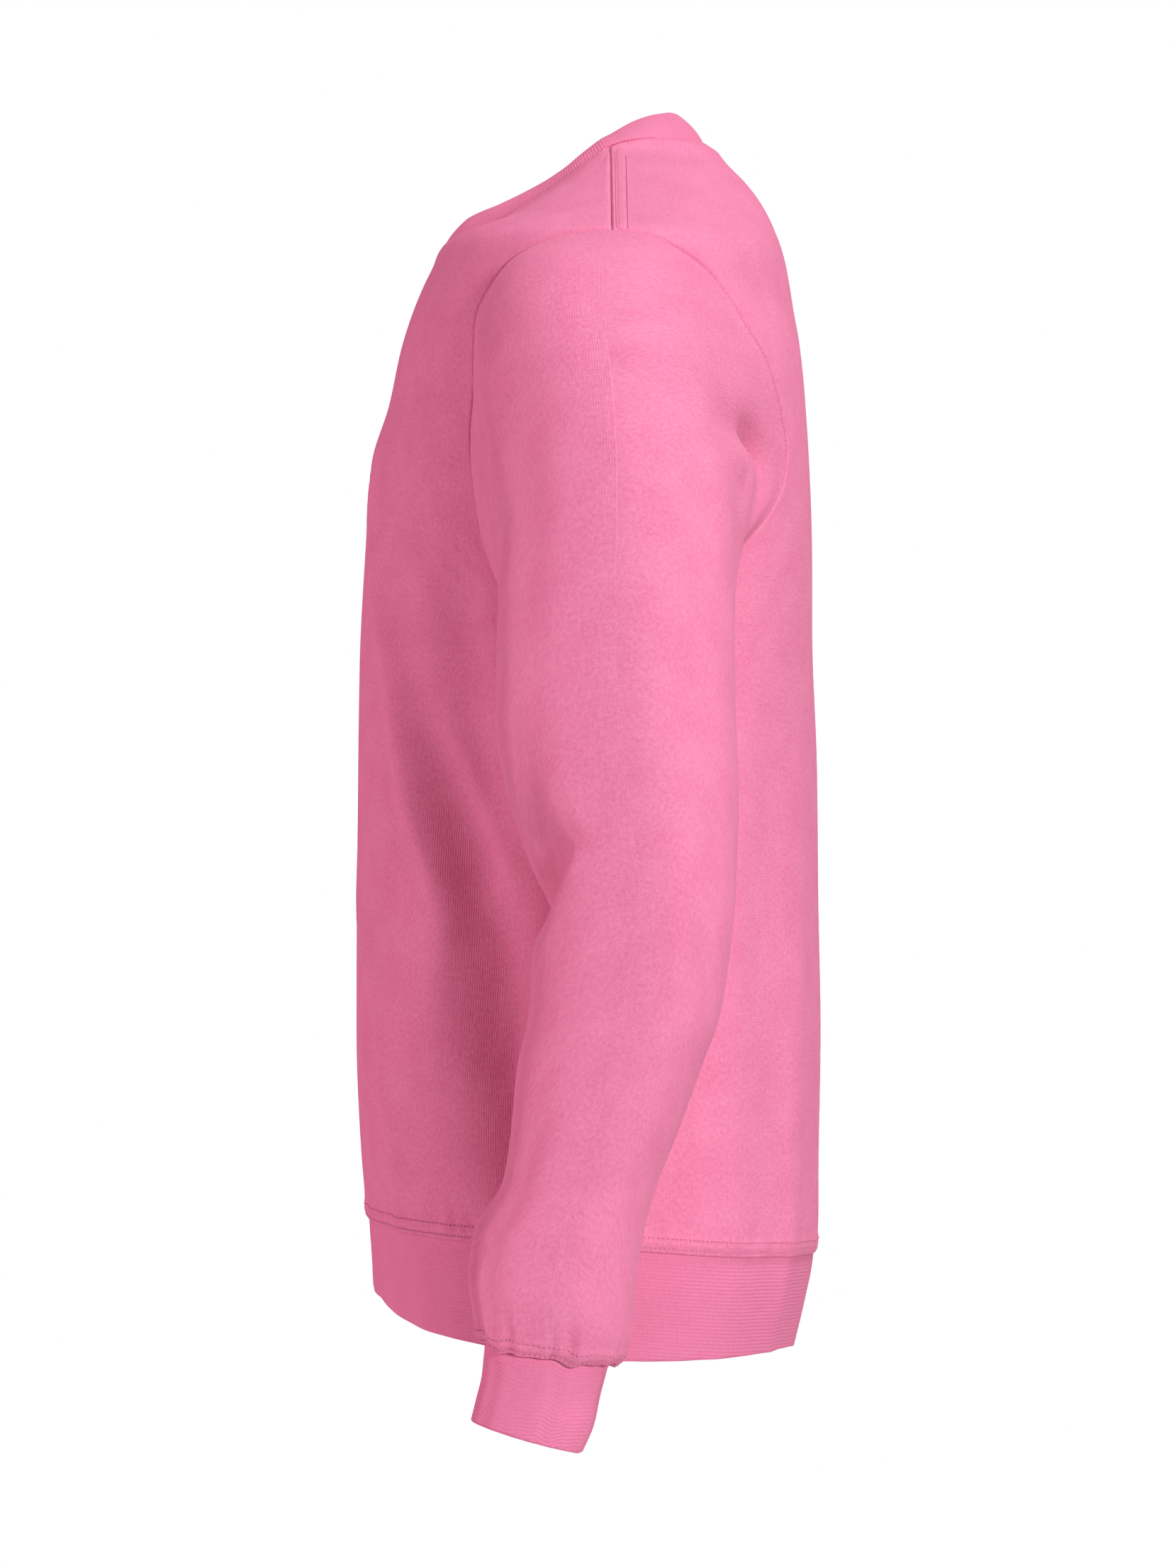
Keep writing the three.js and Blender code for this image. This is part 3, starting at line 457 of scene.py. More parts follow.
# Straight distance from each point to a line through points: the least of the distances to its parts.
def distanceTo(points, line):
    flat = points.reshape(-1, 1, 3)
    start, part = line[:-1], np.diff(line, axis=0)
    best = np.full(len(flat), 1e9)
    for k in range(0, len(part), 20):
        away = flat - start[None, k : k + 20]
        piece = part[None, k : k + 20]
        t = np.clip((away * piece).sum(-1) / (piece * piece).sum(-1), 0, 1)[..., None]
        best = np.minimum(best, np.linalg.norm(away - piece * t, axis=-1).min(axis=1))
    return best.reshape(points.shape[:-1])


# A panel's outer face: folds, relief beside its seams, then each edge half a gap in from its seam.
def panelSurface(part):
    turn, z, u, v = panelGrid(part)
    flip = 1.0 if part == "front" else -1.0
    plain = bodyPoint(turn, z)
    normals = gridNormals(plain) * flip
    neckShare, armpitShare = body["neckShare"][part], body["armpitShare"]
    last, topRow = turn.shape[1] - 1, turn.shape[0] - 1
    armpit = int(np.searchsorted(v, armpitShare - 1e-9))
    cornerRight = int(np.searchsorted(u, -neckShare - 1e-9))
    cornerLeft = last - cornerRight
    fromHem = arcFrom(plain, 0)

    def nearest(first, second):
        return np.minimum(distanceTo(plain, first), distanceTo(plain, second))

    fromNeck = distanceTo(plain, plain[topRow, cornerRight : cornerLeft + 1])
    fromShoulder = nearest(plain[topRow, : cornerRight + 1], plain[topRow, cornerLeft:])
    fromArm = nearest(plain[armpit:, 0], plain[armpit:, last])
    fromSide = nearest(plain[: armpit + 1, 0], plain[: armpit + 1, last])
    gather = unevenWave(turn, ((41, 0.4, 0.4), (67, 0.34, 2.1), (97, 0.22, 4.4)))
    rise = reliefAt(fromHem, "hem")
    rise = rise + gather * np.exp(-(((fromHem - 11) / 9) ** 2)) * smoothStep(fromHem / 4)
    word = part.capitalize()
    rise = rise + reliefAt(fromArm, "armhole") + reliefAt(fromSide, "side")
    rise = rise + reliefAt(fromNeck, "neck" + word) + reliefAt(fromShoulder, "shoulder" + word)

    def bodyFacing(turns, zs):
        return formNormal(bodyPoint, turns, zs, 0.4, 1.0)

    seams = [
        ("hem", slice(0, 1), slice(0, last + 1)),
        ("neck", slice(topRow, topRow + 1), slice(cornerRight, cornerLeft + 1)),
        ("shoulderRight", slice(topRow, topRow + 1), slice(0, cornerRight + 1)),
        ("shoulderLeft", slice(topRow, topRow + 1), slice(cornerLeft, last + 1)),
        ("sideRight", slice(0, armpit + 1), slice(0, 1)),
        ("sideLeft", slice(0, armpit + 1), slice(last, last + 1)),
    ]
    shift = np.zeros_like(plain)
    marks = {}
    for name, rows, columns in seams:
        points = plain[rows, columns].reshape(-1, 3)
        facing = bodyFacing(turn[rows, columns].ravel(), z[rows, columns].ravel())
        tangent, outward = seamFrame(points, facing, False)
        insideRows = slice(1, 2) if name == "hem" else slice(topRow - 1, topRow)
        insideColumns = slice(1, 2) if name == "sideRight" else slice(last - 1, last)
        if name.startswith("side"):
            inside = plain[rows, insideColumns].reshape(-1, 3)
        else:
            inside = plain[insideRows, columns].reshape(-1, 3)
        shift[rows, columns] += stepIn(points, tangent, outward, inside).reshape(shift[rows, columns].shape)
        normals[rows, columns] = outward.reshape(normals[rows, columns].shape)
        marks[name] = {"points": points, "tangent": tangent, "outward": outward}
    for side, column in ((-1, 0), (1, last)):
        loop = armholes[side]
        count = len(loop["points"])
        index = np.arange(len(armholeShares))
        if part == "back":
            index = (count - index) % count
        rows = topRow - np.arange(len(armholeShares))
        inside = plain[rows, 1 if column == 0 else last - 1]
        pick = {name: values[index] for name, values in loop.items()}
        shift[rows, column] += stepIn(pick["points"], pick["tangent"], pick["outward"], inside)
        normals[rows, column] = pick["outward"]
    outer = plain + normals * rise[..., None] + shift
    middle = (outer.shape[1] - 1) // 2
    across = arcFrom(plain, 1)
    uv = np.stack([across - across[:, middle : middle + 1], fromHem], axis=-1)
    lines = {"hem": fromHem, "neck": fromNeck, "shoulder": fromShoulder}
    return {"outer": outer, "normals": normals, "uv": uv, "marks": marks, "from": lines, "u": u,
            "facing": gridNormals(outer) * flip}


panels = {part: panelSurface(part) for part in ("front", "back")}
print("panels worked out")


# Puts arrays into a mesh object: points in millimetres, faces of one width, and a corner UV each.
def addMesh(name, points, faces, uv, materials, materialIndex, flatAngle=None):
    width = faces.shape[1]
    a, b, c = (points[faces[:, k]] for k in (0, 1, 2))
    volume = (a * np.cross(b, c)).sum()
    if width == 4:
        volume += (a * np.cross(c, points[faces[:, 3]])).sum()
    if volume < 0:
        faces = faces[:, ::-1]
        uv = uv.reshape(-1, width, 2)[:, ::-1].reshape(-1, 2)
    mesh = bpy.data.meshes.new(name)
    mesh.vertices.add(len(points))
    mesh.vertices.foreach_set("co", (points * 0.001).astype(np.float32).ravel())
    mesh.loops.add(faces.size)
    mesh.loops.foreach_set("vertex_index", np.ascontiguousarray(faces, np.int32).ravel())
    mesh.polygons.add(len(faces))
    mesh.polygons.foreach_set("loop_start", np.arange(0, faces.size, width, dtype=np.int32))
    mesh.polygons.foreach_set("material_index", np.ascontiguousarray(materialIndex, np.int32))
    mesh.polygons.foreach_set("use_smooth", np.ones(len(faces), bool))
    mesh.update(calc_edges=True)
    layer = mesh.uv_layers.new(name="cloth")
    layer.uv.foreach_set("vector", (uv * 0.001).astype(np.float32).ravel())
    mesh.validate()
    if flatAngle is not None:
        mesh.set_sharp_from_angle(angle=math.radians(flatAngle))
    for material in materials:
        mesh.materials.append(material)
    piece = bpy.data.objects.new(name, mesh)
    bpy.context.scene.collection.objects.link(piece)
    return piece


# Faces between the rows and columns of a grid of points, with the UV of each corner.
def gridFaces(rows, columns, wrap, start, uv):
    spans = columns if wrap else columns - 1
    j, i = np.meshgrid(np.arange(rows - 1), np.arange(spans), indexing="ij")
    corners = [(j, i), (j, i + 1), (j + 1, i + 1), (j + 1, i)]
    faces = np.stack([start + a * columns + b % columns for a, b in corners], axis=-1)
    texture = np.stack([uv[a, b] for a, b in corners], axis=-2)
    return faces.reshape(-1, 4), texture.reshape(-1, 4, 2)


# Closes an outer and an inner face with rims into one sheet of cloth.
def clothShell(name, outer, inner, wrap, uv, materials):
    rows, columns = outer.shape[:2]
    count = rows * columns
    points = np.concatenate([outer.reshape(-1, 3), inner.reshape(-1, 3)])
    front, frontUv = gridFaces(rows, columns, wrap, 0, uv)
    backFaces, backUv = gridFaces(rows, columns, wrap, count, uv)
    faces = [front, backFaces[:, ::-1]]
    textures = [frontUv, backUv[:, ::-1]]
    slots = [np.zeros(len(front), int), np.ones(len(front), int)]
    spans = columns if wrap else columns - 1
    i = np.arange(spans)
    rims = [(0 * i, i, 0 * i, i + 1, True), (0 * i + rows - 1, i, 0 * i + rows - 1, i + 1, False)]
    if not wrap:
        j = np.arange(rows - 1)
        side = 0 * j + columns - 1
        rims += [(j, 0 * j, j + 1, 0 * j, False), (j, side, j + 1, side, True)]
    for ja, ia, jb, ib, turned in rims:
        first = ja * columns + ia % columns
        second = jb * columns + ib % columns
        rim = np.stack([first, second, second + count, first + count], axis=-1)
        texture = np.stack([uv[ja, ia], uv[jb, ib], uv[jb, ib], uv[ja, ia]], axis=-2)
        if turned:
            rim, texture = rim[:, ::-1], texture[:, ::-1]
        faces.append(rim)
        textures.append(texture)
        slots.append(np.zeros(len(rim), int))
    faces = np.concatenate(faces)
    return addMesh(name, points, faces, np.concatenate(textures).reshape(-1, 2), materials,
                   np.concatenate(slots), 62)


# A folded strip of rib: its outer face, a half round at the folded edge and its inner face, carried
# round the loop and closed at the seam.
def foldedRib(name, outer, normals, wall, uv, materials):
    down = unit(outer[-1] - outer[-2])
    arc = np.radians(np.linspace(0, 180, 9)[1:-1])
    middle = outer - normals * (wall / 2)
    middle[-1] = middle[-1] - down * (wall / 2)
    face = middle + normals * (wall / 2)
    inside = middle - normals * (wall / 2)
    edge = [middle[-1] + wall / 2 * (np.cos(a) * normals[-1] + np.sin(a) * down) for a in arc]
    profile = np.concatenate([face, np.array(edge), inside[::-1], face[:1]])
    rows = len(profile) - 1
    lengthDown = np.concatenate([uv[..., 1], uv[-1:, :, 1] - np.arange(1, 8)[:, None] * 0.5,
                                 uv[::-1, :, 1], uv[:1, :, 1]])
    texture = np.stack([np.broadcast_to(uv[:1, :, 0], lengthDown.shape), lengthDown], axis=-1)
    columns = outer.shape[1]
    j, i = np.meshgrid(np.arange(rows), np.arange(columns), indexing="ij")
    corners = [(j, i), (j, i + 1), (j + 1, i + 1), (j + 1, i)]
    faces = np.stack([(a % rows) * columns + b % columns for a, b in corners], axis=-1)
    textures = np.stack([texture[a, b] for a, b in corners], axis=-2)
    slots = np.zeros(faces.shape[:2], int)
    return addMesh(name, profile[:rows].reshape(-1, 3), faces.reshape(-1, 4), textures.reshape(-1, 2),
                   materials, slots.ravel(), 62)


def linearColour(code):
    channels = np.array([int(code[k : k + 2], 16) for k in (1, 3, 5)]) / 255
    linear = np.where(channels <= 0.04045, channels / 12.92, ((channels + 0.055) / 1.055) ** 2.4)
    return (*linear.tolist(), 1.0)


def addNode(tree, kind, settings=None, links=None):
    node = tree.nodes.new(kind)
    for name, value in (settings or {}).items():
        if name in node.inputs.keys() or isinstance(name, int):
            node.inputs[name].default_value = value
        else:
            setattr(node, name, value)
    for name, (source, output) in (links or {}).items():
        tree.links.new(source.outputs[output], node.inputs[name])
    return node


def newMaterial(name):
    material = bpy.data.materials.new(name)
    material.use_nodes = True
    material.node_tree.nodes.clear()
    return material, material.node_tree


# Wales run up the cloth and courses across it. The real ones are 0.8 to 1 mm apart, finer than a
# pixel of the picture, so they are drawn at 1.3 to 2.3 mm.
fleeceLook = {
    "light": "#F293B6",
    "dark": "#E1779E",
    "fuzz": "#FFA6C6",
    "wale": (1.35, 0.22),
    "course": (1.7, 0.1),
    "coarseMm": 2.4,
    "blotchMm": 30.0,
    "fibre": 1.0,
    "depthMm": 0.42,
    "sheen": 0.25,
    "roughness": 0.92,
}


# Knitted cloth: a colour that varies over blotches and single loops, wales and courses as ridges
# along the cloth's own V and U direction, fibres as fine noise, and sheen for the fuzz that stands up.
def knitMaterial(name, look):
    material, tree = newMaterial(name)
    uv = addNode(tree, "ShaderNodeUVMap", {"uv_map": "cloth"})
    blotch = addNode(tree, "ShaderNodeTexNoise",
                     {"Scale": 1000 / look["blotchMm"], "Detail": 3.0, "Roughness": 0.6},
                     {"Vector": (uv, "UV")})
    fibre = addNode(tree, "ShaderNodeTexNoise",
                    {"Scale": 1000 / look["coarseMm"], "Detail": 6.0, "Roughness": 0.75},
                    {"Vector": (uv, "UV")})
    shade = addNode(tree, "ShaderNodeMath", {"operation": "MULTIPLY", 1: 0.75}, {0: (fibre, "Fac")})
    shade = addNode(tree, "ShaderNodeMath", {"operation": "MULTIPLY_ADD", 1: 0.25},
                    {0: (blotch, "Fac"), 2: (shade, "Value")})
    height = addNode(tree, "ShaderNodeMath", {"operation": "MULTIPLY", 1: look["fibre"]},
                     {0: (fibre, "Fac")})
    for key, direction in (("wale", "X"), ("course", "Y")):
        pitch, share = look[key]
        wave = addNode(tree, "ShaderNodeTexWave",
                       {"wave_type": "BANDS", "bands_direction": direction, "wave_profile": "SIN",
                        "Scale": 1000 / pitch / 20 * 6.2832, "Distortion": 0.12, "Detail": 1.0,
                        "Detail Scale": 0.5}, {"Vector": (uv, "UV")})
        height = addNode(tree, "ShaderNodeMath", {"operation": "MULTIPLY_ADD", 1: share},
                         {0: (wave, "Fac"), 2: (height, "Value")})
    spread = addNode(tree, "ShaderNodeMapRange",
                     {"From Min": 0.36, "From Max": 0.64, "To Min": 0.0, "To Max": 1.0},
                     {"Value": (shade, "Value")})
    colour = addNode(tree, "ShaderNodeMix", {"data_type": "RGBA"}, {0: (spread, "Result")})
    colour.inputs[6].default_value = linearColour(look["dark"])
    colour.inputs[7].default_value = linearColour(look["light"])
    bump = addNode(tree, "ShaderNodeBump", {"Strength": 1.0, "Distance": look["depthMm"] * 0.001},
                   {"Height": (height, "Value")})
    shader = addNode(tree, "ShaderNodeBsdfPrincipled",
                     {"Roughness": look["roughness"], "IOR": 1.45, "Specular IOR Level": 0.2,
                      "Sheen Weight": look["sheen"], "Sheen Roughness": 0.45,
                      "Sheen Tint": linearColour(look["fuzz"])},
                     {"Base Color": (colour, 2), "Normal": (bump, "Normal")})
    addNode(tree, "ShaderNodeOutputMaterial", {}, {"Surface": (shader, "BSDF")})
    return material


ribLook = {**fleeceLook, "light": "#EC87AC", "dark": "#E27CA2", "wale": (2.3, 0.35), "course": (2.1, 1.0),
           "coarseMm": 2.4, "fibre": 0.25, "depthMm": 0.22, "sheen": 0.25, "roughness": 0.9}
collarLook = {**ribLook, "wale": (1.9, 1.0), "course": (2.1, 0.1), "depthMm": 0.26}
napLook = {**fleeceLook, "light": "#F09ABA", "dark": "#E287A9", "wale": (1.35, 0.0), "course": (1.7, 0.0),
           "coarseMm": 5.0, "depthMm": 0.9, "sheen": 0.5, "roughness": 1.0}

# Cotton and polyester sweatshirt knit, its face side: matt, with fine upright wales under a short fuzz.
fleeceFace = knitMaterial("brushedFleeceFace", fleeceLook)
# The same cloth's brushed inside: a soft nap with no wales to be seen.
fleeceNap = knitMaterial("brushedFleeceNap", napLook)
# 1x1 rib knit of hem and cuffs: courses that show as level lines, and fine upright ribs under them.
ribKnit = knitMaterial("oneByOneRibKnit", ribLook)
# The collar's finer rib, whose upright ribs show.
collarKnit = knitMaterial("fineRibKnit", collarLook)


# Spun polyester sewing thread: smoother than the knit, so that each stitch has a soft highlight. Its colour
# is painted darker than the cloth, as painted shade of the dents the stitches lie in.
def threadMaterial():
    material, tree = newMaterial("spunThreadPaintedShade")
    place = addNode(tree, "ShaderNodeTexCoord")
    twist = addNode(tree, "ShaderNodeTexNoise", {"Scale": 2200.0, "Detail": 2.0},
                    {"Vector": (place, "Object")})
    colour = addNode(tree, "ShaderNodeMix", {"data_type": "RGBA"}, {0: (twist, "Fac")})
    # Both thread colours are darker than the cloth's: painted shade of the stitch dents, not the thread's
    # own colour.
    colour.inputs[6].default_value = linearColour("#C8688E")
    colour.inputs[7].default_value = linearColour("#E48AAC")
    bump = addNode(tree, "ShaderNodeBump", {"Strength": 0.5, "Distance": 0.0001}, {"Height": (twist, "Fac")})
    shader = addNode(tree, "ShaderNodeBsdfPrincipled", {"Roughness": 0.6, "IOR": 1.5, "Sheen Weight": 0.2},
                     {"Base Color": (colour, 2), "Normal": (bump, "Normal")})
    addNode(tree, "ShaderNodeOutputMaterial", {}, {"Surface": (shader, "BSDF")})
    return material


thread = threadMaterial()
fleece = [fleeceFace, fleeceNap]
print("materials made")

fleeceWall = 2.0
ribWall = 2.4
pieces = {}
for part in ("front", "back"):
    panel = panels[part]
    inner = panel["outer"] - panel["normals"] * fleeceWall
    pieces[part] = clothShell(part + "Panel", panel["outer"], inner, False, panel["uv"], fleece)
print("panels made")

sleeve = {
    "sections": tableOf(
        "along outX outZ inX inZ front rear tilt",
        (0, 232, -66, 208, -285, -75, 97, 0),
        (28, 262, -79, 210, -290, -75, 88, 0),
        (60, 290, -104, 212.5, -297, -72.5, 78, 0),
        (95, 313, -142, 214.5, -306, -66, 71, 0),
        (135, 328, -192, 216.5, -320, -60, 66, 0),
        (180, 336, -250, 219, -341, -61, 65, 0),
        (220, 340, -300, 222, -366, -61.5, 65.5, 0),
        (262, 342, -350, 226, -394, -55, 67, 0),
        (297, 342, -394, 230, -420, -44, 66, 0),
        (325, 341, -430, 233, -440, -36, 64.5, 0),
        (345, 340, -455, 236, -458, -41, 62, 0),
        (375, 338, -487, 238, -487, -44, 57, 0),
        (403, 337, -515, 240, -515, -50, 47, 0),
        (440, 335, -552, 242, -552, -53.6, 33.5, 0),
        (465, 334, -577, 243, -577, -58, 23.6, 0),
        (492, 335, -604, 244, -604, -70.7, 16, 1),
        (519, 335, -630, 245, -630, -74, 12.3, 2),
        (538, 332, -649, 248, -649, -72.5, 11, 3.5),
        (548, 329, -658, 251, -658, -70, 8, 4.5),
        (556, 326, -665, 254, -665, -68, 0, 5.3),
    ),
    "cuff": tableOf(
        "down outX outZ inX inZ front rear tilt",
        (0, 325, -666, 258, -667, -67, -2, 5.2),
        (14, 326, -679, 263, -681, -68, -6, 5.5),
        (28, 328, -693, 266, -696, -71, -9.5, 7),
        (42, 329, -706, 268, -710, -74, -16, 8.5),
    ),
    "power": 2.15,
    "capReach": 165.0,
    "rings": 210,
    "foldScale": 1.0,
    # Rows are around, along, rise, reach to the left and reach to the right of the line's direction.
    "folds": {
        1: {
            "elbowCrease": [(118, 342, 0, 16, 7), (98, 333, -6, 18, 5), (80, 324, -9.5, 20, 4.2),
                            (62, 314, -9.5, 20, 4), (47, 304, -7.5, 18, 4), (37, 297, -4, 16, 5),
                            (28, 290, 0, 14, 8)],
            "elbowFrontHollow": [(50, 225, 0, 14, 14), (58, 258, -4, 17, 15), (68, 290, -5.5, 18, 15),
                                 (84, 335, 0, 14, 12)],
            "forearmRidge": [(100, 350, 0, 6, 14), (78, 338, 1.8, 6, 16), (58, 324, 2.6, 6, 18),
                             (40, 311, 2.2, 7, 18), (26, 300, 0, 8, 16)],
            "rearPit": [(318, 98, 0, 12, 12), (303, 84, -3.4, 11, 10), (290, 68, -6, 9, 8),
                        (280, 54, -9.5, 8, 7), (272, 44, -10, 9, 8), (265, 42, -5, 12, 9),
                        (261, 56, -3.5, 16, 9), (255, 84, -4, 20, 9), (246, 112, -3, 20, 12),
                        (234, 150, 0, 16, 14)],
            "rearPitRidge": [(298, 102, 0, 9, 8), (286, 84, 2.4, 9, 8), (279, 66, 4, 9, 7),
                             (275, 82, 3.6, 9, 7), (271, 112, 1.5, 9, 8), (270, 140, 0, 8, 8)],
            "pitSoftA": [(338, 92, 0, 14, 12), (327, 117, -2.6, 14, 11), (319, 138, -3, 14, 11),
                         (312, 170, 0, 12, 12)],
            "pitSoftB": [(350, 92, 0, 12, 12), (347, 120, -2, 12, 11), (343, 150, -1.6, 12, 11),
                         (341, 185, 0, 12, 12)],
            "upperSoftA": [(18, 95, 0, 12, 12), (19, 150, -1.6, 12, 12), (18, 220, -2, 13, 13),
                           (15, 300, 0, 12, 12)],
            "upperSoftB": [(318, 90, 0, 12, 12), (320, 170, -1.8, 13, 13), (321, 280, -2, 13, 13),
                           (322, 420, 0, 12, 12)],
            "frontSoft": [(50, 70, 0, 15, 15), (48, 120, -3.6, 17, 16), (45, 170, -4.4, 18, 16),
                          (41, 230, -2.5, 18, 15), (38, 275, 0, 15, 14)],
            "forearmSoft": [(40, 380, 0, 12, 12), (44, 430, -1.6, 12, 12), (50, 480, -2, 11, 11),
                            (56, 525, 0, 10, 10)],
            "wristFoldA": [(96, 462, 0, 7, 6), (92, 486, 2.6, 6, 5), (84, 512, 2.2, 6, 5),
                           (80, 540, 0, 6, 5)],
            "wristFoldB": [(80, 470, 0, 6, 7), (78, 495, -2.4, 5, 7), (72, 520, -2.2, 5, 6),
                           (68, 546, 0, 5, 6)],
            "wristFoldC": [(62, 492, 0, 8, 6), (60, 515, 1.6, 7, 6), (56, 535, 1.8, 6, 5),
                           (54, 550, 0.6, 6, 5)],
        },
        -1: {
            "elbowCrease": [(112, 344, 0, 18, 7), (92, 335, -5.5, 20, 5), (72, 322, -6.5, 22, 4.5),
                            (50, 306, -4.8, 20, 5), (32, 290, 0, 16, 9)],
            "elbowFrontHollow": [(60, 232, 0, 12, 12), (74, 270, -2.5, 14, 12), (88, 312, -2.5, 14, 12),
                                 (94, 345, 0, 12, 12)],
            "forearmRidge": [(96, 352, 0, 8, 14), (70, 338, 2.2, 8, 16), (46, 318, 2.2, 8, 18),
                             (28, 302, 0, 8, 14)],
            "rearPit": [(260, 8, 0, 12, 12), (256, 40, -6.5, 12, 12), (250, 74, -7, 12, 13),
                        (240, 112, -4.5, 12, 13), (230, 155, 0, 12, 14)],
            "upperSoftA": [(24, 100, 0, 12, 12), (24, 180, -2, 13, 12), (20, 300, 0, 12, 12)],
            "upperSoftB": [(312, 95, 0, 12, 12), (316, 200, -2.2, 13, 13), (320, 400, 0, 12, 12)],
            "forearmSoft": [(36, 385, 0, 12, 12), (42, 450, -2, 12, 12), (50, 530, 0, 10, 10)],
            "wristFoldA": [(98, 468, 0, 7, 6), (92, 495, 2.4, 6, 5), (84, 540, 0, 6, 5)],
            "wristFoldB": [(80, 474, 0, 6, 7), (76, 505, -2.4, 5, 7), (70, 546, 0, 5, 6)],
        },
    },
    "seamWave": ((6, 0.8, 0.9), (11, 0.7, 2.2), (17, 0.45, 4.1)),
    "gatherHeight": 0.8,
    "gathers": {
        1: ((9, 0.55, 0.2), (14, 0.7, 1.7), (23, 0.5, 3.9), (31, 0.3, 5.1)),
        -1: ((8, 0.6, 1.2), (15, 0.65, 2.9), (22, 0.5, 0.4), (33, 0.3, 4.0)),
    },
}

sleeveAt = tableReader(sleeve["sections"], "along")
cuffAt = tableReader(sleeve["cuff"], "down")


# Ring of a sleeve or cuff. With c = cos(around), s = sin(around) and the same reach as the body's
# rings: x and z run from the middle to the outer end by c * reach, y from the middle to the front by
# s * reach, and tilt lifts the front.
def sectionPoint(section, around, side):
    out = np.cos(np.radians(around))
    ahead = np.sin(np.radians(around))
    power = sleeve["power"]
    reach = (np.abs(out) ** power + np.abs(ahead) ** power) ** (-1 / power)
    middleX = (section["outX"] + section["inX"]) / 2
    middleZ = (section["outZ"] + section["inZ"]) / 2
    centreY = (section["front"] + section["rear"]) / 2
    halfY = (section["rear"] - section["front"]) / 2
    x = side * (middleX + (section["outX"] - middleX) * out * reach)
    y = centreY - halfY * ahead * reach
    z = middleZ + (section["outZ"] - middleZ) * out * reach + section["tilt"] * ahead * reach
    return np.stack([x, y, z], axis=-1)


def wrapped(grid):
    return np.concatenate([grid, grid[:, :1]], axis=1)


# UV of a tube: U is the length round the ring from its first column, V the length along it.
def tubeUv(points):
    closed = wrapped(points)
    return np.stack([arcFrom(closed, 1), wrapped(arcFrom(points, 0))], axis=-1)


# Sleeve: rings from the armhole seam to the wrist. The armhole's own shape is held at the start and
# let go by a smooth step over the cap, then folds, the gathers at the cuff and the seams' relief.
def sleeveSurface(side):
    loop = armholes[side]
    length = sleeve["sections"]["along"][-1]
    share = gradedShares(sleeve["rings"], 0.22, 0.3, 0.12)
    along = (share * length)[:, None]
    around = (aroundShares * 360)[None, :]
    section = sleeveAt(along)
    start = sectionPoint(sleeveAt(np.zeros((1, 1))), around, side)[0]
    hold = 1 - smoothStep(along / sleeve["capReach"])
    plain = sectionPoint(section, around, side) + hold[..., None] * (loop["points"] - start)[None]
    normals = gridNormals(plain, True) * side
    nearer = np.where(around > 180, around - 360, around)
    folds, scale = sleeve["folds"][side], sleeve["foldScale"]
    rise = foldRise(folds, np.broadcast_to(around, plain.shape[:2]), along, scale)
    rise = rise + foldRise(folds, nearer + 0 * along, along, scale) * (around > 180)
    fromArm = arcFrom(plain, 0)
    fromCuff = arcFrom(plain, 0, True)
    gather = unevenWave(around, sleeve["gathers"][side])
    wavy = unevenWave(around, sleeve["seamWave"]) * np.exp(-((fromCuff / 14) ** 2))
    plain = plain + np.array([0.0, 0.0, 1.0]) * wavy[..., None]
    near = np.exp(-(((fromCuff - 10) / 12) ** 2)) * smoothStep(fromCuff / 3)
    rise = rise + sleeve["gatherHeight"] * gather * near
    rise = rise + reliefAt(fromCuff, "wrist") + reliefAt(fromArm, "armhole")
    outer = plain + normals * rise[..., None]
    facing = gridNormals(outer, True) * side
    normals = facing.copy()
    inside = loop["points"] + np.array([side, 0.0, 0.0])
    edge = loop["points"] - loop["outward"] * seamRelief["armhole"]["drop"]
    outer[0] = edge + stepIn(loop["points"], loop["tangent"], loop["outward"], inside)
    normals[0] = loop["outward"]
    end = outer[-1].copy()
    tangent, outward = seamFrame(end, facing[-1], True)
    step = stepIn(end, tangent, outward, outer[-2])
    outer[-1] = end + step
    normals[-1] = outward
    return {"outer": outer, "normals": normals, "facing": facing, "fromCuff": fromCuff, "fromArm": fromArm,
            "end": end, "endStep": step, "endOutward": outward, "around": around[0]}


# Cuff: rings below the wrist seam, drawn in by the rib, with a folded edge.
def cuffSurface(side, arm):
    down = np.concatenate([[0.0], gradedShares(20, 0.4, 0.4) * 41.2 + 0.6])[:, None]
    around = arm["around"][None, :]
    outer = sectionPoint(cuffAt(down), around, side)
    wave = unevenWave(around, ((11, 0.25, 0.7), (17, 0.2, 2.5), (5, 0.35, 1.0)))
    outer = outer + gridNormals(outer, True) * side * (wave * smoothStep(down / 8))[..., None]
    normals = gridNormals(outer, True) * side
    outer[0] = arm["end"] - arm["endStep"] - arm["endOutward"] * ribStep
    normals[0] = arm["endOutward"]
    return outer, normals


sleeves = {}
for side, word in ((1, "Left"), (-1, "Right")):
    arm = sleeveSurface(side)
    sleeves[side] = arm
    inner = arm["outer"] - arm["normals"] * fleeceWall
    name = "sleeve" + word
    pieces[name] = clothShell(name, arm["outer"], inner, True, tubeUv(arm["outer"]), fleece)
    outer, normals = cuffSurface(side, arm)
    uv = tubeUv(outer)
    pieces["cuff" + word] = foldedRib("cuffRib" + word, outer, normals, ribWall, uv, [ribKnit])
print("sleeves and cuffs made")


# One loop from the front and back edge of a seam, right side to left and round.
def joinedLoop(name):
    front, back = panels["front"]["marks"][name], panels["back"]["marks"][name]
    loop = {key: np.concatenate([front[key], back[key][1:-1][::-1]]) for key in ("points", "outward")}
    loop["tangent"], loop["outward"] = seamFrame(loop["points"], loop["outward"], True)
    return loop


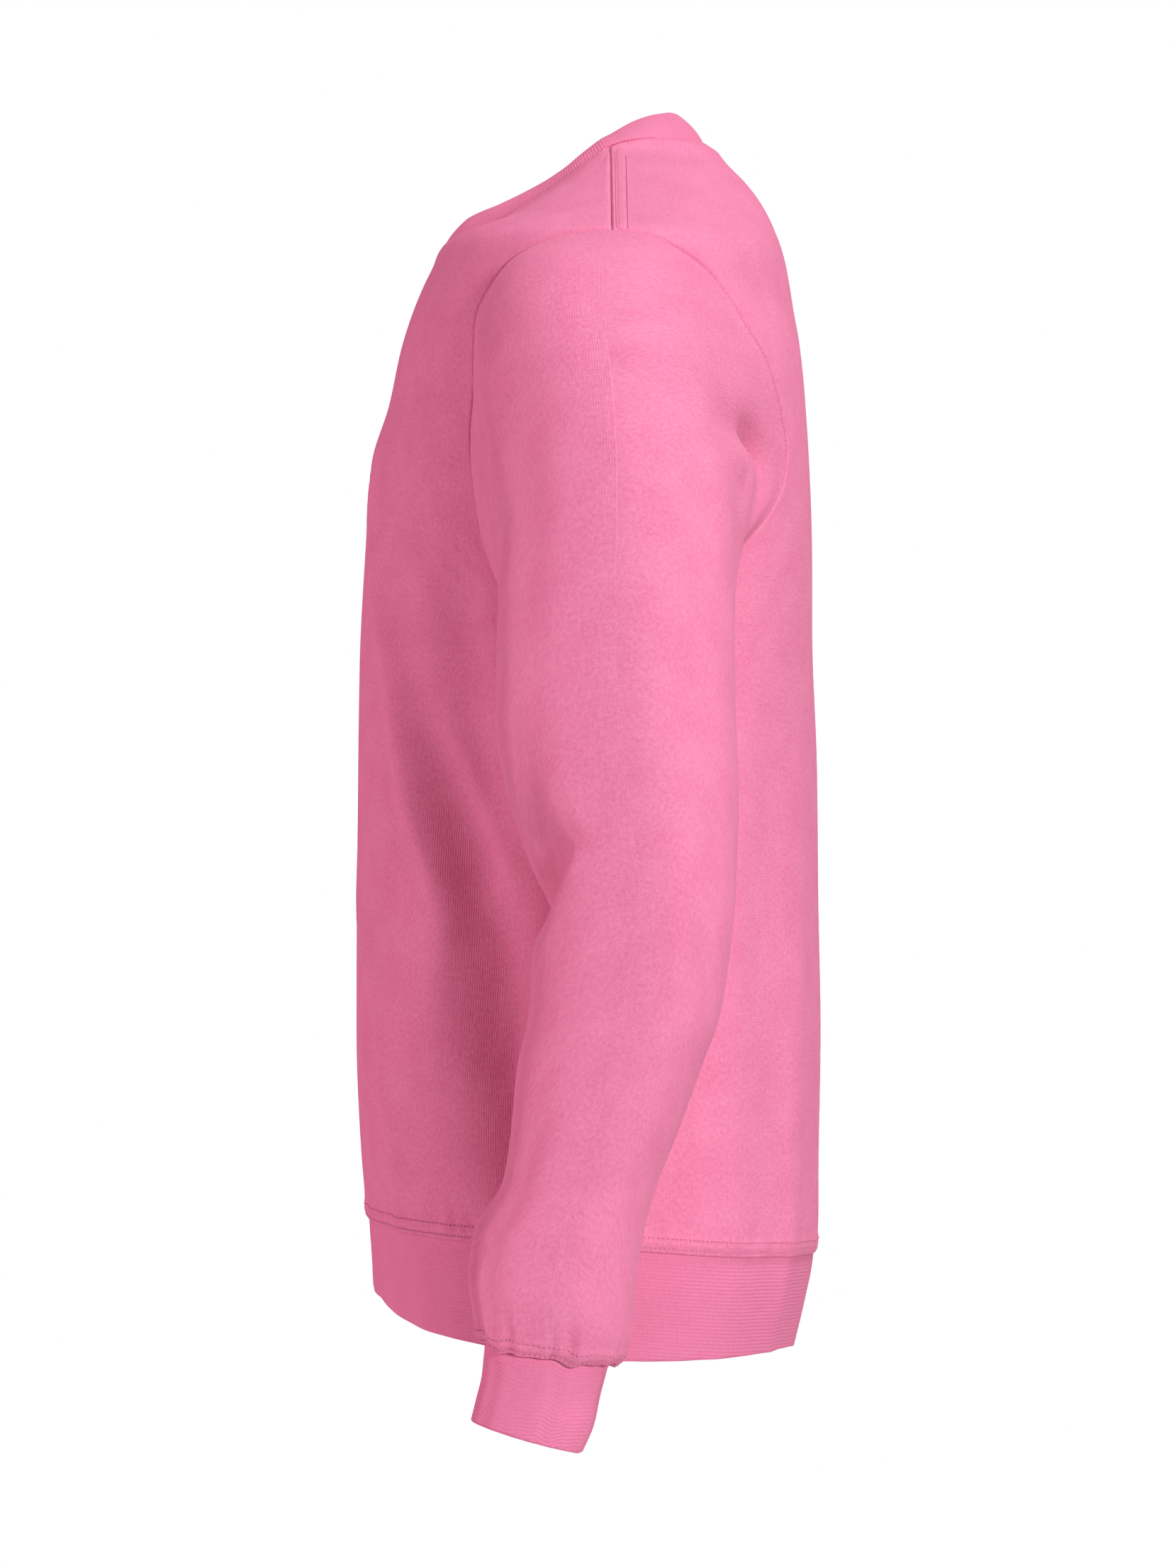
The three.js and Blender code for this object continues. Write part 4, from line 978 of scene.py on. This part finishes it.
# Hem rib: the body's form carried on below the hem seam, one rib step inside it.
def hemSurface():
    loop = joinedLoop("hem")
    turn = turnFromDirection(loop["points"][:, 0], loop["points"][:, 1], loop["points"][:, 2])[None, :]
    share = np.concatenate([[0.0], gradedShares(22, 0.4, 0.4) * 0.985 + 0.015])[:, None]
    edges = hemAt(np.abs(turn))
    z = edges["seam"] + (edges["edge"] - edges["seam"]) * share
    turn = np.broadcast_to(turn, z.shape)
    facing = formNormal(bodyPoint, turn, z, 0.4, 1.0)
    wave = unevenWave(turn, ((9, 0.3, 0.5), (23, 0.22, 2.0), (37, 0.16, 4.0))) * smoothStep(share * 3)
    outer = bodyPoint(turn, z) + facing * (wave - ribStep)[..., None]
    normals = -gridNormals(outer, True)
    normals = normals * np.sign((normals * facing).sum(-1, keepdims=True))
    below = loop["points"] + np.array([0.0, 0.0, -1.0])
    step = stepIn(loop["points"], loop["tangent"], loop["outward"], below)
    outer[0] = loop["points"] + step - loop["outward"] * ribStep
    normals[0] = loop["outward"]
    return outer, normals


hemOuter, hemNormals = hemSurface()
hemUv = tubeUv(hemOuter)
pieces["hem"] = foldedRib("hemRib", hemOuter, hemNormals, ribWall, hemUv, [ribKnit])


# Collar rib: from the neck seam along its reach to the folded edge, with a swell across its width.
def collarSurface():
    loop = joinedLoop("neck")
    frontRow = neckAt["front"](neckShares)
    backRow = neckAt["back"](neckShares)

    def half(row, side):
        return np.stack([side * row["reachX"], row["reachY"], row["reachZ"]], axis=-1)

    reach = np.concatenate([half(frontRow, -1)[:0:-1], half(frontRow, 1), half(backRow, 1)[-2::-1],
                            half(backRow, -1)[1:-1]])
    share = gradedShares(20, 0.4, 0.4)[:, None]
    swell = 0.5 + 1.6 * np.sin(np.pi * np.minimum(1.0, share * 0.9 + 0.05)) * smoothStep(share / 0.12)
    outer = loop["points"] + reach * share[..., None] + loop["outward"] * swell[..., None]
    normals = gridNormals(outer, True)
    normals = normals * np.sign((normals * loop["outward"]).sum(-1, keepdims=True))
    step = stepIn(loop["points"], loop["tangent"], loop["outward"], loop["points"] + reach)
    outer[0] = outer[0] + step
    normals[0] = loop["outward"]
    return outer, normals


collarOuter, collarNormals = collarSurface()
collarUv = tubeUv(collarOuter)
pieces["collar"] = foldedRib("collarRib", collarOuter, collarNormals, ribWall, collarUv, [collarKnit])
print("ribs made")

stitch = {"pitch": 2.7, "length": 2.1, "width": 0.9, "lift": 0.35, "inSeam": 0.75}


# Points of a surface at a set distance from one of its edges, one for each grid line that leaves it.
def lineAt(points, distance, at):
    k = np.argmax(distance >= at, axis=0)
    k = np.maximum(k, 1)
    i = np.arange(points.shape[1])
    low, high = distance[k - 1, i], distance[k, i]
    t = np.clip((at - low) / np.maximum(high - low, 1e-9), 0, 1)[:, None]
    return points[k - 1, i] * (1 - t) + points[k, i] * t


# Stitches along a line: each is a short rounded grain, thickest at its middle, by
# width / 2 * (1 - |2x / length|^2.4)^0.5 at x along it, lying on the cloth with its ends sunk in.
def stitchRow(points, normals, closed):
    if closed:
        points, normals = np.concatenate([points, points[:1]]), np.concatenate([normals, normals[:1]])
    arc = arcFrom(points, 0)
    count = int(arc[-1] / stitch["pitch"])
    at = (np.arange(count) + 0.5) * arc[-1] / count
    centre = np.stack([np.interp(at, arc, points[:, k]) for k in range(3)], axis=-1)
    up = unit(np.stack([np.interp(at, arc, normals[:, k]) for k in range(3)], axis=-1))
    ahead = np.stack([np.interp(at + 0.5, arc, points[:, k]) for k in range(3)], axis=-1)
    behind = np.stack([np.interp(at - 0.5, arc, points[:, k]) for k in range(3)], axis=-1)
    forward = unit(ahead - behind)
    sideways = unit(np.cross(up, forward))
    up = np.cross(forward, sideways)
    ringX = np.array([-0.42, -0.2, 0.2, 0.42]) * stitch["length"]
    radius = stitch["width"] / 2 * (1 - np.abs(2 * ringX / stitch["length"]) ** 2.4) ** 0.5
    angle = np.radians(np.arange(6) * 60.0)
    x = np.concatenate([[-0.5 * stitch["length"]], np.repeat(ringX, 6), [0.5 * stitch["length"]]])
    across = np.concatenate([[0.0], (radius[:, None] * np.cos(angle)).ravel(), [0.0]])
    high = np.concatenate([[0.0], (radius[:, None] * np.sin(angle)).ravel(), [0.0]])
    high = high + stitch["lift"] - 0.25 * (2 * x / stitch["length"]) ** 2
    grain = centre[:, None] + forward[:, None] * x[None, :, None]
    grain = grain + sideways[:, None] * across[None, :, None]
    grain = grain + up[:, None] * high[None, :, None]
    k = np.arange(6)
    after = (k + 1) % 6
    faces = [np.stack([0 * k, 1 + after, 1 + k], axis=-1)]
    faces.append(np.stack([0 * k + 25, 19 + k, 19 + after], axis=-1))
    for ring in range(3):
        low, high = 1 + 6 * ring, 7 + 6 * ring
        faces.append(np.stack([low + k, low + after, high + after], axis=-1))
        faces.append(np.stack([low + k, high + after, high + k], axis=-1))
    faces = np.concatenate(faces)
    grain = grain.reshape(-1, 3)
    every = faces[None] + (np.arange(count) * 26)[:, None, None]
    return grain, every.reshape(-1, 3)


def stitchPiece(name, rows):
    points, faces, start = [], [], 0
    for row in rows:
        grain, triangles = stitchRow(*row)
        points.append(grain)
        faces.append(triangles + start)
        start += len(grain)
    faces = np.concatenate(faces)
    uv = np.zeros((faces.size, 2))
    return addMesh(name, np.concatenate(points), faces, uv, [thread], np.zeros(len(faces), int))


def panelLine(part, name, at, columns):
    panel = panels[part]
    order = slice(None) if name == "hem" else slice(None, None, -1)
    distance = panel["from"][name][order]
    line = lineAt(panel["outer"][order], distance, at)
    turned = lineAt(panel["facing"][order], distance, at)
    return line[columns], unit(turned[columns])


def joinLines(first, second):
    return np.concatenate([first[0], second[0][::-1]]), np.concatenate([first[1], second[1][::-1]])


everyColumn = slice(None)
hemRows = []
for at in seamRelief["hem"]["rows"]:
    ahead, behind = (panelLine(part, "hem", at, everyColumn) for part in ("front", "back"))
    hemRows.append((*joinLines(ahead, behind), True))
stitches = {"hem": stitchPiece("hemStitches", hemRows)}
for side, word in ((1, "Left"), (-1, "Right")):
    arm = sleeves[side]
    rows = []
    for at in seamRelief["wrist"]["rows"]:
        line = lineAt(arm["outer"][::-1], arm["fromCuff"][::-1], at)
        rows.append((line, unit(lineAt(arm["facing"][::-1], arm["fromCuff"][::-1], at)), True))
    stitches["cuff" + word] = stitchPiece("cuffStitches" + word, rows)
    loop = armholes[side]
    row = (loop["points"] - loop["outward"] * stitch["inSeam"], loop["outward"], True)
    stitches["armhole" + word] = stitchPiece("armholeStitches" + word, [row])
last = len(panels["back"]["u"]) - 1
corner = int(np.searchsorted(panels["back"]["u"], -body["neckShare"]["back"] - 1e-9))
shoulderRows = []
for columns in (slice(2, corner), slice(last - corner + 1, last - 1)):
    for at in seamRelief["shoulderBack"]["rows"]:
        shoulderRows.append((*panelLine("back", "shoulder", at, columns), False))
stitches["shoulder"] = stitchPiece("shoulderStitches", shoulderRows)
cornerFront = int(np.searchsorted(panels["front"]["u"], -body["neckShare"]["front"] - 1e-9))
lastFront = len(panels["front"]["u"]) - 1
neckColumns = slice(cornerFront + 1, lastFront - cornerFront)
neckLine = panelLine("front", "neck", seamRelief["neckFront"]["rows"][0], neckColumns)
stitches["neck"] = stitchPiece("neckStitches", [(*neckLine, False)])
print("stitches made")

joins = {
    "front": ("front", "fleece"),
    "back": ("back", "fleece"),
    "sleeveLeft": ("sleeve_left", "fleece"),
    "sleeveRight": ("sleeve_right", "fleece"),
    "cuffLeft": ("cuff_left", "rib"),
    "cuffRight": ("cuff_right", "rib"),
    "hem": ("hem_rib", "rib"),
    "collar": ("neck_rib", "rib"),
}
for name, (node, slot) in joins.items():
    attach(pieces[name], "root")
    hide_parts(node)
for piece in stitches.values():
    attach(piece, "root")

print("pieces joined to the frame")

# The surroundings are tinted, because light that reaches the folds has met pink cloth before.
studio = {
    "background": "#FFFFFF",
    "surroundings": "#FFD9E8",
    "ambient": 0.22,
    "key": {"place": (3.2, 1.45, 0.2), "size": 0.7, "power": 92.0, "colour": "#FFFFFF"},
    "top": {"place": (0.5, 1.5, 2.9), "size": 1.2, "power": 70.0, "colour": "#FFFFFF"},
    "front": {"place": (0.2, -3.2, 0.0), "size": 1.0, "power": 60.0, "colour": "#FFDCE9"},
    "target": (0.15, 0.0, -0.35),
    "floorHeight": -1.45,
    "floorHalf": 1.0,
}

world = bpy.data.worlds.new("paleStudio")
bpy.context.scene.world = world
world.use_nodes = True
world.node_tree.nodes.clear()
rays = addNode(world.node_tree, "ShaderNodeLightPath")
seen = addNode(world.node_tree, "ShaderNodeBackground",
               {"Color": linearColour(studio["background"]), "Strength": 1.0})
cast = addNode(world.node_tree, "ShaderNodeBackground",
               {"Color": linearColour(studio["surroundings"]), "Strength": studio["ambient"]})
mixed = addNode(world.node_tree, "ShaderNodeMixShader", {},
                {0: (rays, "Is Camera Ray"), 1: (cast, "Background"), 2: (seen, "Background")})
addNode(world.node_tree, "ShaderNodeOutputWorld", {}, {"Surface": (mixed, "Shader")})
bpy.context.scene.view_settings.view_transform = "Standard"


def addLight(name, setting, target):
    data = bpy.data.lights.new(name, "AREA")
    data.shape = "DISK"
    data.size = setting["size"]
    data.energy = setting["power"]
    data.color = linearColour(setting["colour"])[:3]
    light = bpy.data.objects.new(name, data)
    place = np.array(setting["place"])
    light.location = setting["place"]
    aim = unit(np.array(target) - place)
    light.rotation_euler = (math.acos(-aim[2]), 0.0, math.atan2(-aim[0], aim[1]))
    bpy.context.scene.collection.objects.link(light)


for name in ("key", "top", "front"):
    addLight(name + "Light", studio[name], studio["target"])

half = studio["floorHalf"] * 1000
ground = studio["floorHeight"] * 1000
floorPoints = np.array([[-half, -half, ground], [half, -half, ground],
                        [half, half, ground], [-half, half, ground]])
floorMaterial, floorTree = newMaterial("paleMattFloor")
floorPlace = addNode(floorTree, "ShaderNodeTexCoord")
floorGrain = addNode(floorTree, "ShaderNodeTexNoise", {"Scale": 300.0}, {"Vector": (floorPlace, "Object")})
floorBump = addNode(floorTree, "ShaderNodeBump", {"Strength": 0.1, "Distance": 0.0003},
                    {"Height": (floorGrain, "Fac")})
floorShader = addNode(floorTree, "ShaderNodeBsdfPrincipled",
                      {"Base Color": linearColour("#F4F4F2"), "Roughness": 0.9},
                      {"Normal": (floorBump, "Normal")})
addNode(floorTree, "ShaderNodeOutputMaterial", {}, {"Surface": (floorShader, "BSDF")})
floorFace, floorUv = np.array([[0, 1, 2, 3]]), np.zeros((4, 2))
floor = addMesh("floor", floorPoints, floorFace, floorUv, [floorMaterial], np.zeros(1, int))
print("lights and floor set")
